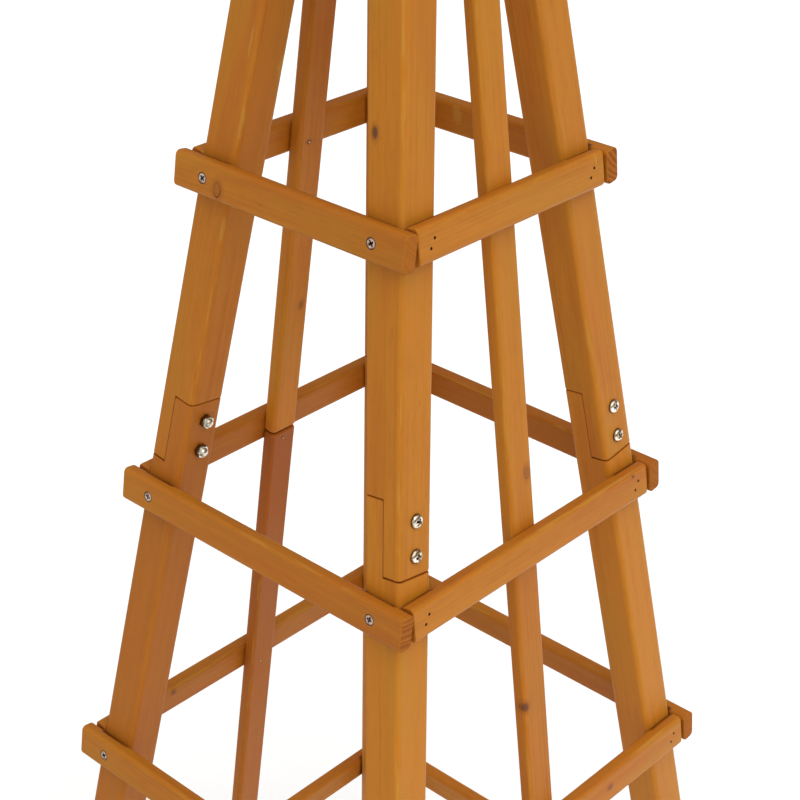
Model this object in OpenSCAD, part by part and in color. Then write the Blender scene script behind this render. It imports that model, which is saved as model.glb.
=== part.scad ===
// Garden obelisk: four leaning legs in two halves, ringed by flat rails, under a cap and a turned finial.
// Millimetres. +Z is up, the feet stand on Z = 0, and the vertical axis of the obelisk is the Z axis.
// Front is -Y, back is +Y, left is -X and right is +X.

/* [Overall] */
// Width across the feet, left to right
foot_width = 474; // [440:1:520]
// Depth across the feet, front to back
foot_depth = 495; // [440:1:520]
// Height at which the four leaning faces would meet
apex_height = 1756; // [1735:1:1800]
// Height of the leg tops, under the cap
leg_top = 1400; // [1380:1:1410]

/* [Legs] */
// Side of the square leg
leg_side = 35; // [32:0.5:36]
// Radius of the rounded edges along a leg
leg_round = 4.4; // [2:0.1:6]

/* [Lap joints] */
// Height of the middle of the lap joints
lap_height = 772; // [765:1:800]
// Length of a lap, along the leg
lap_length = 62; // [50:1:70]
// Thickness of the outer tongue of a lap
outer_tongue = 16; // [12:0.5:20]
// Gap left at the shoulders of a lap
shoulder_gap = 1; // [0.2:0.1:1.5]
// Distance between the two bolts of a lap
bolt_spacing = 27.5; // [22:0.5:32]

/* [Slats] */
// Width of the flat slat used for rails and uprights
slat_width = 28.5; // [24:0.5:32]
// Thickness of the slat
slat_thick = 13; // [11:0.5:14]
// Radius of the rounded edges along a slat
slat_round = 4; // [2:0.1:5]
// Chamfer on the cut ends of a slat
slat_chamfer = 1.2; // [0.5:0.1:2]

/* [Rails] */
// Height of the lowest ring of rails
rail_height_1 = 165; // [120:1:200]
// Height of the second ring
rail_height_2 = 446; // [400:1:480]
// Height of the third ring, just below the lap joints
rail_height_3 = 711; // [690:1:715]
// Height of the fourth ring
rail_height_4 = 988; // [950:1:1020]
// Height of the fifth ring
rail_height_5 = 1262; // [1220:1:1290]
// How far a long rail stops short of the outer face of the short rails, at its lower edge
long_setback = 1; // [0:0.5:3]
// Gap between a short rail and a long rail, at the upper edge
short_gap = 1; // [0.5:0.5:4]

/* [Uprights] */
// How far below the middle of the third ring the two halves of an upright meet
upright_joint_drop = 2; // [0:0.5:8]
// Gap between the two halves of an upright
upright_gap = 2; // [0.5:0.5:4]

/* [Cap and finial] */
// Side of the square cap
cap_side = 128; // [116:1:140]
// Thickness of the cap
cap_thick = 18; // [15:1:24]
// Radius of the rounded corners of the cap
cap_round = 6; // [3:1:12]
// Radius of the ball
ball_radius = 30; // [24:1:36]
// Radius of the foot of the finial
finial_foot_radius = 25; // [20:1:28]

/* [Fasteners] */
// Diameter of the lap bolts
bolt_diameter = 6; // [5:1:6]
// Diameter of the head of a lap bolt
bolt_head_diameter = 11.5; // [10:0.5:14]
// Diameter of the countersunk heads
screw_head_diameter = 8.5; // [7:0.5:9]
// Diameter of the wood screws
screw_diameter = 4; // [3:0.5:4.5]
// Diameter of the brads
brad_diameter = 1.8; // [1.4:0.2:2.4]

/* [Hidden] */

LEG_COLOUR = [0.76, 0.50, 0.22];
RAIL_COLOUR = [0.69, 0.42, 0.16];
UPRIGHT_COLOUR = [0.72, 0.45, 0.19];
TOP_COLOUR = [0.74, 0.47, 0.20];
BOLT_COLOUR = [0.82, 0.82, 0.80];
SCREW_COLOUR = [0.78, 0.62, 0.50];
BRAD_COLOUR = [0.30, 0.22, 0.16];

RIGHT = 1;
LEFT = -1;
BACK = 1;
FRONT = -1;
ROUND_FN = 48;

// Each ring lies in four leaning faces. A face leans inward by this much per unit of height.
slope_x = foot_width / 2 / apex_height;
slope_y = foot_depth / 2 / apex_height;
lean_x = atan(slope_x);
lean_y = atan(slope_y);
function half_x(z) = (apex_height - z) * slope_x;
function half_y(z) = (apex_height - z) * slope_y;

rail_heights = [rail_height_1, rail_height_2, rail_height_3, rail_height_4, rail_height_5];
LOWER_RINGS = [0, 1, 2];
UPPER_RINGS = [3, 4];
half_slat = slat_width / 2;

// A leg leans both ways. Its left or right face is square to its own X axis, and its front or back
// face is turned by leg_skew, so that both outer faces lie in the leaning faces of the obelisk.
leg_tilt_y = -lean_x;
leg_tilt_x = atan(slope_y * cos(lean_x));
leg_skew = atan(slope_y * sin(lean_x) * cos(leg_tilt_x));
leg_rise = cos(leg_tilt_x) * cos(leg_tilt_y);
function along_leg(z) = z / leg_rise;
function from_faces(u, v) = [-u, (u * sin(leg_skew) - v) / cos(leg_skew)];
skew_normal = [sin(leg_skew), cos(leg_skew)];
side_normal = [1, 0];
lap_middle = along_leg(lap_height);
lap_low = lap_middle - lap_length / 2;
lap_high = lap_middle + lap_length / 2;

bolt_hole_radius = bolt_diameter / 2 + 0.25;
bolt_head_height = 3.8;
nut_flats = 10;
nut_height = 5;
nut_dome_radius = 4.1;
nut_overlap = 0.6;
screw_length = 34;
screw_countersink = 3.2;
fit_gap = 0.1;
cross_length = 5;
cross_width = 1.1;
cross_depth = 1.8;
brad_length = 31;
brad_sink = 0.8;
brad_step_along = 2.2;
brad_step_up = 3.3;
upright_brad_length = 24;
upright_brad_proud = 0.4;
cap_screw_length = 45;
finial_screw_length = 48;
finial_foot_height = 9;
neck_radius = 10;
neck_height = 13;
bead_radius = 4;
ball_sink = 3;
cap_chamfer = 3;

// ---- placing ----

// Local X runs along the face, local -Y points out of it, and local Z runs up the slope.
// turn is 0 for the front face, 90 for the right, 180 for the back and 270 for the left.
module on_face(turn, z) {
    side_face = turn == 90 || turn == 270;
    half = side_face ? half_x(z) : half_y(z);
    lean = side_face ? lean_x : lean_y;
    rotate([0, 0, turn]) translate([0, -half, z]) rotate([-lean, 0, 0]) children();
}

// The leg's own frame: Z up the leg from the outer edge of the foot, X and Y outward.
module on_leg(side, end) {
    mirror([side == LEFT ? 1 : 0, 0, 0]) mirror([0, end == FRONT ? 1 : 0, 0])
        translate([foot_width / 2, foot_depth / 2, 0]) rotate([leg_tilt_x, leg_tilt_y, 0]) children();
}

// The frame of a rail screw, where a long rail crosses a leg: Z points into the wood.
module at_rail_screw(side, end, ring) {
    z = rail_heights[ring];
    along = (half_x(z) - leg_side / 2) * side * (end == FRONT ? 1 : -1);
    on_face(end == FRONT ? 0 : 180, z) translate([along, -slat_thick, 0]) rotate([-90, 0, 0]) children();
}

// The two brads where a short rail crosses a leg: Z points into the wood.
module at_rail_brads(side, end, ring) {
    z = rail_heights[ring];
    along = (half_y(z) - leg_side / 2) * end * (side == RIGHT ? 1 : -1);
    for (step = [-1, 1])
        on_face(side == RIGHT ? 90 : 270, z)
            translate([along + step * brad_step_along, -slat_thick, step * brad_step_up])
                rotate([-90, 0, 0]) children();
}

// The lower half of an upright ends behind this ring, so its brad sits lower there.
JOINT_RING = 2;

// How far an upright's brad sits to the back of, and above, the middle of the crossing.
function upright_brad_place(ring) = ring == JOINT_RING ? [-2, -9] : [-4, -1];

// The brad that holds an upright to a short rail: Z points outward, from the upright's inner side.
module at_upright_brad(side, ring) {
    place = upright_brad_place(ring);
    on_face(side == RIGHT ? 90 : 270, rail_heights[ring])
        translate([place[0] * (side == RIGHT ? 1 : -1), slat_thick + upright_brad_proud, place[1]])
            rotate([90, 0, 0]) children();
}

// The two bolts of a lap: Z points inward through the leg from its outer side face.
module at_lap_bolts(side, end) {
    middle = from_faces(0, leg_side / 2);
    for (step = [-1, 1])
        on_leg(side, end) translate([0, middle[1], lap_middle + step * bolt_spacing / 2])
            rotate([0, -90, 0]) children();
}

// The screw that holds the cap to one leg: Z points down.
module at_cap_screw(side, end) {
    translate([side * (half_x(leg_top) - leg_side / 2), end * (half_y(leg_top) - leg_side / 2),
               leg_top + cap_thick])
        mirror([0, 0, 1]) children();
}

// ---- holes and fasteners ----

module drill(diameter, length, start = 0) {
    translate([0, 0, start]) cylinder(d = diameter + 2 * fit_gap, h = length - start, $fn = ROUND_FN);
}

module countersink() {
    translate([0, 0, -1])
        cylinder(d = screw_head_diameter + 2 * fit_gap, h = 1.01, $fn = ROUND_FN);
    cylinder(d1 = screw_head_diameter + 2 * fit_gap, d2 = screw_diameter + 2 * fit_gap,
             h = screw_countersink, $fn = ROUND_FN);
}

module cross_recess() {
    for (turn = [45, 135])
        rotate([0, 0, turn])
            translate([-cross_length / 2, -cross_width / 2, -1]) cube([cross_length, cross_width, cross_depth + 1]);
}

module wood_screw(length) {
    difference() {
        union() {
            cylinder(d1 = screw_head_diameter, d2 = screw_diameter, h = screw_countersink, $fn = ROUND_FN);
            cylinder(d = screw_diameter, h = length - screw_diameter, $fn = ROUND_FN);
            translate([0, 0, length - screw_diameter])
                cylinder(d1 = screw_diameter, d2 = 0.6, h = screw_diameter, $fn = ROUND_FN);
        }
        cross_recess();
    }
}

module brad(length) {
    cylinder(d = brad_diameter, h = length - brad_diameter, $fn = ROUND_FN);
    translate([0, 0, length - brad_diameter])
        cylinder(d1 = brad_diameter, d2 = 0.4, h = brad_diameter, $fn = ROUND_FN);
}

// A domed head: the slice of a ball that is bolt_head_height tall.
module lap_bolt() {
    head_ball = (pow(bolt_head_diameter / 2, 2) + pow(bolt_head_height, 2)) / (2 * bolt_head_height);
    difference() {
        union() {
            intersection() {
                translate([0, 0, head_ball - bolt_head_height]) sphere(r = head_ball, $fn = ROUND_FN);
                translate([0, 0, -bolt_head_height])
                    cylinder(d = bolt_head_diameter, h = bolt_head_height, $fn = ROUND_FN);
            }
            translate([0, 0, -1]) cylinder(d = bolt_diameter, h = leg_side + nut_height + 1, $fn = ROUND_FN);
        }
        translate([0, 0, -bolt_head_height]) cross_recess();
    }
}

// A hexagon nut with a closed dome, seated on the inner face of the leg.
module lap_nut() {
    difference() {
        union() {
            translate([0, 0, leg_side]) cylinder(d = nut_flats / cos(30), h = nut_height, $fn = 6);
            intersection() {
                translate([0, 0, leg_side + nut_height - nut_overlap])
                    sphere(r = nut_dome_radius, $fn = ROUND_FN);
                translate([0, 0, leg_side + nut_height - nut_overlap])
                    cylinder(r = nut_dome_radius, h = nut_dome_radius + 1, $fn = ROUND_FN);
            }
        }
        translate([0, 0, leg_side - 1])
            cylinder(d = bolt_diameter + fit_gap, h = nut_height + 1 + fit_gap, $fn = ROUND_FN);
    }
}

// ---- legs ----

module leg_section() {
    near = leg_round;
    far = leg_side - leg_round;
    outer = from_faces(near, near);
    side_in = from_faces(far, near);
    inner = from_faces(far, far);
    side_out = from_faces(near, far);
    polygon([
        outer + leg_round * side_normal, outer + leg_round * skew_normal,
        side_in + leg_round * skew_normal, side_in - leg_round * side_normal,
        inner - leg_round * side_normal, inner - leg_round * skew_normal,
        side_out - leg_round * skew_normal, side_out + leg_round * side_normal
    ]);
    for (centre = [outer, side_in, inner, side_out])
        translate(centre) circle(r = leg_round, $fn = ROUND_FN);
}

// What a lap takes away: everything on one side of the cheek, between two places along the leg.
module lap_waste(from_outside, low, high) {
    span = 2 * leg_side;
    translate([from_outside ? -outer_tongue : -outer_tongue - span, -span, low])
        cube([span, 2 * span, high - low]);
}

module leg_holes(side, end, rings) {
    at_lap_bolts(side, end) translate([0, 0, -1])
        cylinder(r = bolt_hole_radius, h = leg_side + 2, $fn = ROUND_FN);
    for (ring = rings) {
        at_rail_screw(side, end, ring) drill(screw_diameter, screw_length + 1, slat_thick - 2);
        at_rail_brads(side, end, ring) drill(brad_diameter, brad_length + brad_sink + 1, slat_thick - 2);
    }
}

module leg_lower(side, end) {
    color(LEG_COLOUR) difference() {
        on_leg(side, end) difference() {
            translate([0, 0, -leg_side]) linear_extrude(height = lap_high + leg_side - shoulder_gap)
                leg_section();
            lap_waste(true, lap_low, lap_high + leg_side);
        }
        translate([-foot_width, -foot_depth, -4 * leg_side])
            cube([2 * foot_width, 2 * foot_depth, 4 * leg_side]);
        leg_holes(side, end, LOWER_RINGS);
    }
}

module leg_upper(side, end) {
    color(LEG_COLOUR) difference() {
        on_leg(side, end) difference() {
            translate([0, 0, lap_low + shoulder_gap])
                linear_extrude(height = along_leg(leg_top) - lap_low + leg_side) leg_section();
            lap_waste(false, lap_low - leg_side, lap_high);
        }
        translate([-foot_width, -foot_depth, leg_top])
            cube([2 * foot_width, 2 * foot_depth, 4 * leg_side]);
        leg_holes(side, end, UPPER_RINGS);
        at_cap_screw(side, end) drill(screw_diameter, cap_screw_length + 1, cap_thick - 1);
    }
}

// ---- slats ----

// Outline of a slat with its two ends chamfered, centred on X and standing across Y.
module chamfered_outline(length, across) {
    end = length / 2;
    edge = across / 2 + 1;
    cut = slat_chamfer + 1;
    polygon([
        [-end, -edge + cut], [-end + cut, -edge], [end - cut, -edge], [end, -edge + cut],
        [end, edge - cut], [end - cut, edge], [-end + cut, edge], [-end, edge - cut]
    ]);
}

module slat_section() {
    across = slat_width / 2 - slat_round;
    deep = slat_thick / 2 - slat_round;
    square([2 * deep, slat_width], center = true);
    square([slat_thick, 2 * across], center = true);
    for (i = [-1, 1], j = [-1, 1])
        translate([i * deep, j * across]) circle(r = slat_round, $fn = ROUND_FN);
}

// A slat along X, lying on the plane Y = 0 and filling Y from -slat_thick to 0.
module slat(length) {
    translate([0, -slat_thick / 2, 0]) intersection() {
        rotate([0, 90, 0]) translate([0, 0, -length / 2]) linear_extrude(height = length)
            rotate([0, 0, 90]) slat_section();
        rotate([90, 0, 0]) linear_extrude(height = 2 * slat_thick, center = true)
            chamfered_outline(length, slat_width);
        linear_extrude(height = 2 * slat_width, center = true)
            chamfered_outline(length, slat_thick);
    }
}

// Front and back rails run past the legs and cover the ends of the side rails.
module long_rail(end, ring) {
    z = rail_heights[ring];
    length = 2 * (half_x(z - half_slat) + slat_thick - long_setback);
    color(RAIL_COLOUR) difference() {
        on_face(end == FRONT ? 0 : 180, z) slat(length);
        for (side = [LEFT, RIGHT])
            at_rail_screw(side, end, ring) {
                countersink();
                drill(screw_diameter, slat_thick + 1);
            }
    }
}

// Side rails are cut square between the front and back rails.
module short_rail(side, ring) {
    z = rail_heights[ring];
    length = 2 * (half_y(z + half_slat) - short_gap);
    color(RAIL_COLOUR) difference() {
        on_face(side == RIGHT ? 90 : 270, z) slat(length);
        for (end = [FRONT, BACK])
            at_rail_brads(side, end, ring) translate([0, 0, -1]) drill(brad_diameter, slat_thick + 2);
        at_upright_brad(side, ring) drill(brad_diameter, upright_brad_length + 0.2, slat_thick - 1);
    }
}

// An upright stands on the inner side of the side rails, in two halves butted behind the third ring.
module upright(side, low, high, rings) {
    length = (high - low) / cos(lean_x);
    turn = side == RIGHT ? 90 : 270;
    color(UPRIGHT_COLOUR) difference() {
        on_face(turn, low) translate([0, slat_thick, length / 2]) rotate([0, 90, 0]) slat(length);
        for (ring = rings)
            at_upright_brad(side, ring) translate([0, 0, -1]) drill(brad_diameter, slat_thick + 2);
    }
}
upright_foot = rail_height_1 - half_slat;
upright_head = rail_height_5 + half_slat;
upright_joint = rail_height_3 - upright_joint_drop;
module upright_lower(side) { upright(side, upright_foot, upright_joint - upright_gap / 2, LOWER_RINGS); }
module upright_upper(side) {
    upright(side, upright_joint + upright_gap / 2, upright_head, UPPER_RINGS);
}

// ---- cap and finial ----

module cap_outline(side) {
    core = side - 2 * cap_round;
    square([side, core], center = true);
    square([core, side], center = true);
    for (i = [-1, 1], j = [-1, 1])
        translate([i * core / 2, j * core / 2]) circle(r = cap_round, $fn = ROUND_FN);
}

// The upright cross-section of the cap, with its upper edges chamfered.
module cap_profile() {
    half = cap_side / 2;
    polygon([
        [-half, 0], [half, 0], [half, cap_thick - cap_chamfer], [half - cap_chamfer, cap_thick],
        [-half + cap_chamfer, cap_thick], [-half, cap_thick - cap_chamfer]
    ]);
}

module cap() {
    color(TOP_COLOUR) difference() {
        translate([0, 0, leg_top]) intersection() {
            linear_extrude(height = cap_thick) cap_outline(cap_side);
            rotate([90, 0, 0]) linear_extrude(height = 2 * cap_side, center = true) cap_profile();
            rotate([90, 0, 90]) linear_extrude(height = 2 * cap_side, center = true) cap_profile();
        }
        for (side = [LEFT, RIGHT], end = [FRONT, BACK])
            at_cap_screw(side, end) {
                countersink();
                drill(screw_diameter, cap_thick + 1);
            }
        translate([0, 0, leg_top]) {
            countersink();
            drill(screw_diameter, cap_thick + 1);
        }
    }
}

// Foot, hollow neck, bead and ball, all turned about the Z axis.
module finial() {
    base = leg_top + cap_thick;
    neck_top = base + finial_foot_height + neck_height;
    cove = finial_foot_radius - neck_radius - 3;
    color(TOP_COLOUR) difference() {
        union() {
            translate([0, 0, base]) cylinder(r = finial_foot_radius, h = finial_foot_height, $fn = ROUND_FN);
            translate([0, 0, base + finial_foot_height - 1]) rotate_extrude($fn = ROUND_FN) difference() {
                square([neck_radius + cove, cove + 1]);
                translate([neck_radius + cove, cove + 1]) circle(r = cove, $fn = ROUND_FN);
            }
            translate([0, 0, base]) cylinder(r = neck_radius, h = neck_top - base + ball_sink, $fn = ROUND_FN);
            translate([0, 0, neck_top]) rotate_extrude($fn = ROUND_FN)
                translate([neck_radius, 0]) circle(r = bead_radius, $fn = ROUND_FN);
            translate([0, 0, neck_top + ball_radius]) sphere(r = ball_radius, $fn = 96);
        }
        translate([0, 0, leg_top]) drill(screw_diameter, finial_screw_length + 1, cap_thick - 1);
    }
}

module finial_screw() {
    color(SCREW_COLOUR) translate([0, 0, leg_top]) wood_screw(finial_screw_length);
}

// ---- groups of fasteners ----

module lap_bolts() {
    color(BOLT_COLOUR) for (side = [LEFT, RIGHT], end = [FRONT, BACK]) at_lap_bolts(side, end) lap_bolt();
}

module lap_nuts() {
    color(BOLT_COLOUR) for (side = [LEFT, RIGHT], end = [FRONT, BACK]) at_lap_bolts(side, end) lap_nut();
}

module rail_screws() {
    color(SCREW_COLOUR) for (side = [LEFT, RIGHT], end = [FRONT, BACK], ring = [0 : 4])
        at_rail_screw(side, end, ring) wood_screw(screw_length);
}

module rail_brads() {
    color(BRAD_COLOUR) for (side = [LEFT, RIGHT], end = [FRONT, BACK], ring = [0 : 4])
        at_rail_brads(side, end, ring) translate([0, 0, brad_sink]) brad(brad_length);
}

module upright_brads() {
    color(BRAD_COLOUR) for (side = [LEFT, RIGHT], ring = [0 : 4])
        at_upright_brad(side, ring) brad(upright_brad_length);
}

module cap_screws() {
    color(SCREW_COLOUR) for (side = [LEFT, RIGHT], end = [FRONT, BACK])
        at_cap_screw(side, end) wood_screw(cap_screw_length);
}

leg_lower(LEFT, FRONT);  // leg_front_left_lower
leg_upper(LEFT, FRONT);  // leg_front_left_upper
leg_lower(RIGHT, FRONT);  // leg_front_right_lower
leg_upper(RIGHT, FRONT);  // leg_front_right_upper
leg_lower(LEFT, BACK);  // leg_back_left_lower
leg_upper(LEFT, BACK);  // leg_back_left_upper
leg_lower(RIGHT, BACK);  // leg_back_right_lower
leg_upper(RIGHT, BACK);  // leg_back_right_upper
for (ring = [0 : 4]) {
    long_rail(FRONT, ring);
    long_rail(BACK, ring);
    short_rail(LEFT, ring);
    short_rail(RIGHT, ring);
}
upright_lower(LEFT);  // upright_left_lower
upright_upper(LEFT);  // upright_left_upper
upright_lower(RIGHT);  // upright_right_lower
upright_upper(RIGHT);  // upright_right_upper
cap();
finial();
finial_screw();
lap_bolts();
lap_nuts();
rail_screws();
rail_brads();
upright_brads();
cap_screws();
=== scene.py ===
import math

import bmesh
import bpy
import numpy as np
from mathutils import Matrix, Vector


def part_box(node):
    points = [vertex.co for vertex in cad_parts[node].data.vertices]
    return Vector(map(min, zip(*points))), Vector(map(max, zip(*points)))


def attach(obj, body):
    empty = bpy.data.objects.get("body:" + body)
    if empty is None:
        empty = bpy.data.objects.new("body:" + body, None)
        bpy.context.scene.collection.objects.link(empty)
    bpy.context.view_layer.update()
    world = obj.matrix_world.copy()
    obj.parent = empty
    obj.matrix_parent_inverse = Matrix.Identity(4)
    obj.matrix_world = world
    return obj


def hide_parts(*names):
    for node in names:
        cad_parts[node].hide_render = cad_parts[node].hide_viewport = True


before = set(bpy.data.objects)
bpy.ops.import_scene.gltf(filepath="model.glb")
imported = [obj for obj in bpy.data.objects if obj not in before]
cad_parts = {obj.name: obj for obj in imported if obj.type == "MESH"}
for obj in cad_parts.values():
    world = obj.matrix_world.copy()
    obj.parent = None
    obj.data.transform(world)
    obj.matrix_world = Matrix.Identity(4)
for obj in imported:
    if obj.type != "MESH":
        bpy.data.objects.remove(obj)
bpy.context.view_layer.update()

bl_info = {
    "name": "Garden obelisk",
    "version": (1, 0, 0),
    "blender": (4, 5, 0),
    "location": "3D View > Sidebar > Obelisk",
    "description": "Makes a stained softwood garden obelisk with its rails, cap, finial and fixings",
    "category": "Add Mesh",
}

LEFT, RIGHT = -1, 1
FRONT, BACK = -1, 1
SIDE_NAMES = {LEFT: "left", RIGHT: "right"}
END_NAMES = {FRONT: "front", BACK: "back"}
CORNERS = tuple((side, end) for side in (LEFT, RIGHT) for end in (FRONT, BACK))
TURNS = {"front": 0, "right": 90, "back": 180, "left": 270}
QUARTER = math.pi / 2
# Each piece of timber has its own number, and its grain is shifted this far along for each number,
# so that no two pieces are cut from the same wood.
GRAIN_STEP = 4.0
NUMBERS = {name: i for i, name in enumerate(sorted(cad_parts))}
# Play round the fixings in their holes. A drill runs on past a face or a fixing's end by OVERSHOOT,
# and as far as THROUGH_SLAT to leave the far side of a slat.
SCREW_PLAY = 0.0001
HEAD_PLAY = 0.0003
BOLT_PLAY = 0.00025
BRAD_PLAY = 0.0003
UPRIGHT_BRAD_PLAY = 0.0006
OVERSHOOT = 0.001
THROUGH_SLAT = 0.02
# A drill for a leg starts this far outside it, inside the rail.
START_IN_RAIL = 0.002
# Where an upright's brad sits, from the middle of its crossing: at the butt joint, and elsewhere.
BRAD_AT_JOINT, BRAD_ELSEWHERE = (-0.002, -0.009), (-0.004, -0.001)
JOINT_RING = 2
# The rings of rails, and those that cross the lower and the upper half of a leg or an upright.
RINGS = range(5)
LOWER_RINGS, UPPER_RINGS = (0, 1, 2), (3, 4)
# How far a finished piece's box may be from that of the CAD node that it replaces.
BOX_SLACK = 0.002


# ---- settings ----

def length(name, description, default, low=0.0, high=3.0):
    """A length in metres that a user can change."""
    return bpy.props.FloatProperty(
        name=name, description=description, default=default, min=low, max=high,
        precision=4, unit="LENGTH", subtype="DISTANCE")


def share(name, description, default, low=0.0, high=1.0):
    """A plain number that a user can change."""
    return bpy.props.FloatProperty(
        name=name, description=description, default=default, min=low, max=high, precision=3)


def colour(name, description, default):
    """A colour, as linear red, green and blue."""
    return bpy.props.FloatVectorProperty(
        name=name, description=description, default=default, min=0.0, max=1.0, size=3, subtype="COLOR")


class ObeliskSizes(bpy.types.PropertyGroup):
    """Sizes of the obelisk's timber."""

    foot_width: length("Foot width", "Width across the feet, left to right", 0.474)
    foot_depth: length("Foot depth", "Depth across the feet, front to back", 0.495)
    apex_height: length("Apex height", "Height at which the four leaning faces would meet", 1.756)
    leg_top: length("Leg top", "Height of the leg tops, under the cap", 1.4)
    leg_side: length("Leg side", "Side of the square leg", 0.035)
    leg_round: length("Leg rounding", "Radius of the long edges of a leg", 0.0044)
    tongue_ease: length("Tongue easing", "How far the end of a lap's tongue is rounded over", 0.0015)
    lap_height: length("Lap height", "Height of the middle of the lap joints", 0.772)
    lap_length: length("Lap length", "Length of a lap, along the leg", 0.062)
    outer_tongue: length("Outer tongue", "Thickness of the outer tongue of a lap", 0.016)
    shoulder_gap: length("Shoulder gap", "Gap at the shoulders of a lap", 0.001)
    bolt_spacing: length("Bolt spacing", "Distance between the two bolts of a lap", 0.0275)
    slat_width: length("Slat width", "Width of the rails and uprights", 0.0285)
    slat_thick: length("Slat thickness", "Thickness of the rails and uprights", 0.013)
    slat_round: length("Slat rounding", "Radius of the long edges of a slat", 0.004)
    rail_ease: length("Rail end easing", "How far the cut ends of a rail are rounded", 0.0013)
    upright_ease: length("Upright end easing", "How far the cut ends of an upright are rounded", 0.0022)
    rail_heights: bpy.props.FloatVectorProperty(
        name="Rail heights", description="Heights of the five rings of rails", size=5,
        default=(0.165, 0.446, 0.711, 0.988, 1.262), unit="LENGTH", subtype="NONE")
    long_setback: length("Long rail setback", "How far a long rail stops short of a side rail's face", 0.001)
    short_gap: length("Short rail gap", "Gap from a short rail to a long rail, at the upper edge", 0.001)
    joint_drop: length("Upright joint drop", "How far below the third ring an upright's halves meet", 0.002)
    joint_gap: length("Upright joint gap", "Gap between the two halves of an upright", 0.002)
    cap_side: length("Cap side", "Side of the square cap", 0.128)
    cap_thick: length("Cap thickness", "Thickness of the cap", 0.018)
    cap_round: length("Cap corner radius", "Radius of the corners of the cap", 0.006)
    cap_chamfer: length("Cap chamfer", "Size of the moulded upper edge of the cap", 0.003)
    ball_radius: length("Ball radius", "Radius of the finial's ball", 0.03)
    finial_foot: length("Finial foot radius", "Radius of the finial's foot", 0.025)
    finial_foot_height: length("Finial foot height", "Height of the finial's foot", 0.009)
    neck_radius: length("Neck radius", "Radius of the finial's neck", 0.01)
    neck_height: length("Neck height", "Height of the finial's neck", 0.013)
    bead_radius: length("Bead radius", "Radius of the finial's bead", 0.004)


class ObeliskFixings(bpy.types.PropertyGroup):
    """Sizes of the bolts, nuts, screws and brads."""

    bolt_diameter: length("Bolt diameter", "Diameter of a lap bolt", 0.006)
    bolt_head: length("Bolt head", "Diameter of a bolt's head", 0.0115)
    bolt_head_height: length("Bolt head height", "Height of a bolt's head", 0.0038)
    nut_flats: length("Nut flats", "Distance across the flats of a nut", 0.01)
    nut_height: length("Nut height", "Height of a nut's hexagon", 0.005)
    nut_dome: length("Nut dome radius", "Radius of a nut's dome", 0.0041)
    screw_head: length("Screw head", "Diameter of a wood screw's head", 0.0085)
    screw_diameter: length("Screw diameter", "Diameter of a wood screw", 0.004)
    screw_sink: length("Screw cone", "Depth of a wood screw's cone", 0.0032)
    rail_screw_length: length("Rail screw length", "Length of a rail screw", 0.034)
    cap_screw_length: length("Cap screw length", "Length of a cap screw", 0.045)
    finial_screw_length: length("Finial screw length", "Length of the finial's screw", 0.048)
    cross_length: length("Cross recess length", "Length of the arms of a cross recess", 0.0062)
    cross_width: length("Cross recess width", "Width of the arms of a cross recess", 0.0019)
    cross_depth: length("Cross recess depth", "Depth of a cross recess", 0.0018)
    brad_diameter: length("Brad diameter", "Diameter of a brad", 0.0018)
    brad_length: length("Rail brad length", "Length of a brad that holds a rail to a leg", 0.031)
    upright_brad_length: length("Upright brad length", "Length of a brad from upright to rail", 0.024)
    brad_proud: length("Brad stand-off", "How far the upright brads stand out of the wood", 0.0004)
    brad_sink: length("Brad sink", "How far the rail brads are punched in", 0.0008)
    brad_step_along: length("Brad step along", "Half the spacing of a pair of brads, along the rail", 0.0022)
    brad_step_up: length("Brad step up", "Half the spacing of a pair of brads, up the rail", 0.0033)


class ObeliskFinishes(bpy.types.PropertyGroup):
    """Colours of the stained wood and the metals."""

    wood: colour("Stained wood", "Colour of the soft part of a growth ring", (0.550, 0.193, 0.0131))
    late: colour("Growth lines", "Colour of the hard line of a growth ring", (0.356, 0.097, 0.0066))
    golden: colour("Golden patches", "Where the stain took thinly", (0.500, 0.209, 0.0155))
    ruddy: colour("Ruddy patches", "Where the stain took deeply", (0.455, 0.116, 0.0106))
    end: colour("End grain", "Colour of the sawn ends", (0.460, 0.138, 0.010))
    # Painted shade: the colour of the dark line where a rail lies on a leg and in the seams of the laps.
    joint_shade: colour("Joint shade", "Colour of the painted shade where two pieces touch", (0.110, 0.024, 0.005))
    knot: colour("Knots", "Colour of a knot's core", (0.115, 0.050, 0.026))
    halo: colour("Knot halo", "Colour of the wood round a knot", (0.300, 0.082, 0.010))
    outline: colour("Knot outline", "Colour of the line round a knot", (0.150, 0.036, 0.006))
    filler: colour("Filler", "Colour of a small filled or scuffed patch", (0.560, 0.290, 0.045))
    ring_width: length("Ring width", "Width of one year's growth", 0.0027)
    zinc: colour("Zinc", "Colour of the bolts", (0.66, 0.62, 0.53))
    nut_zinc: colour("Nut zinc", "Colour of the nuts", (0.70, 0.70, 0.60))
    screw_steel: colour("Screw steel", "Colour of the wood screws", (1.0, 0.80, 0.68))
    brad_steel: colour("Brad steel", "Colour of the rail brads", (0.16, 0.10, 0.06))
    # Painted highlight: the upright brads get a bright colour so that their heads show as bright dots.
    brad_highlight: colour("Brad highlight", "Colour of the upright brads", (0.85, 0.64, 0.36))
    # Painted shade with some soiling: the colour laid in a fixing's recess, round its rim and foot, and on a
    # nut's flats.
    grime: colour("Grime", "Colour of the dark hollows of a fixing", (0.036, 0.020, 0.014))


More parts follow.
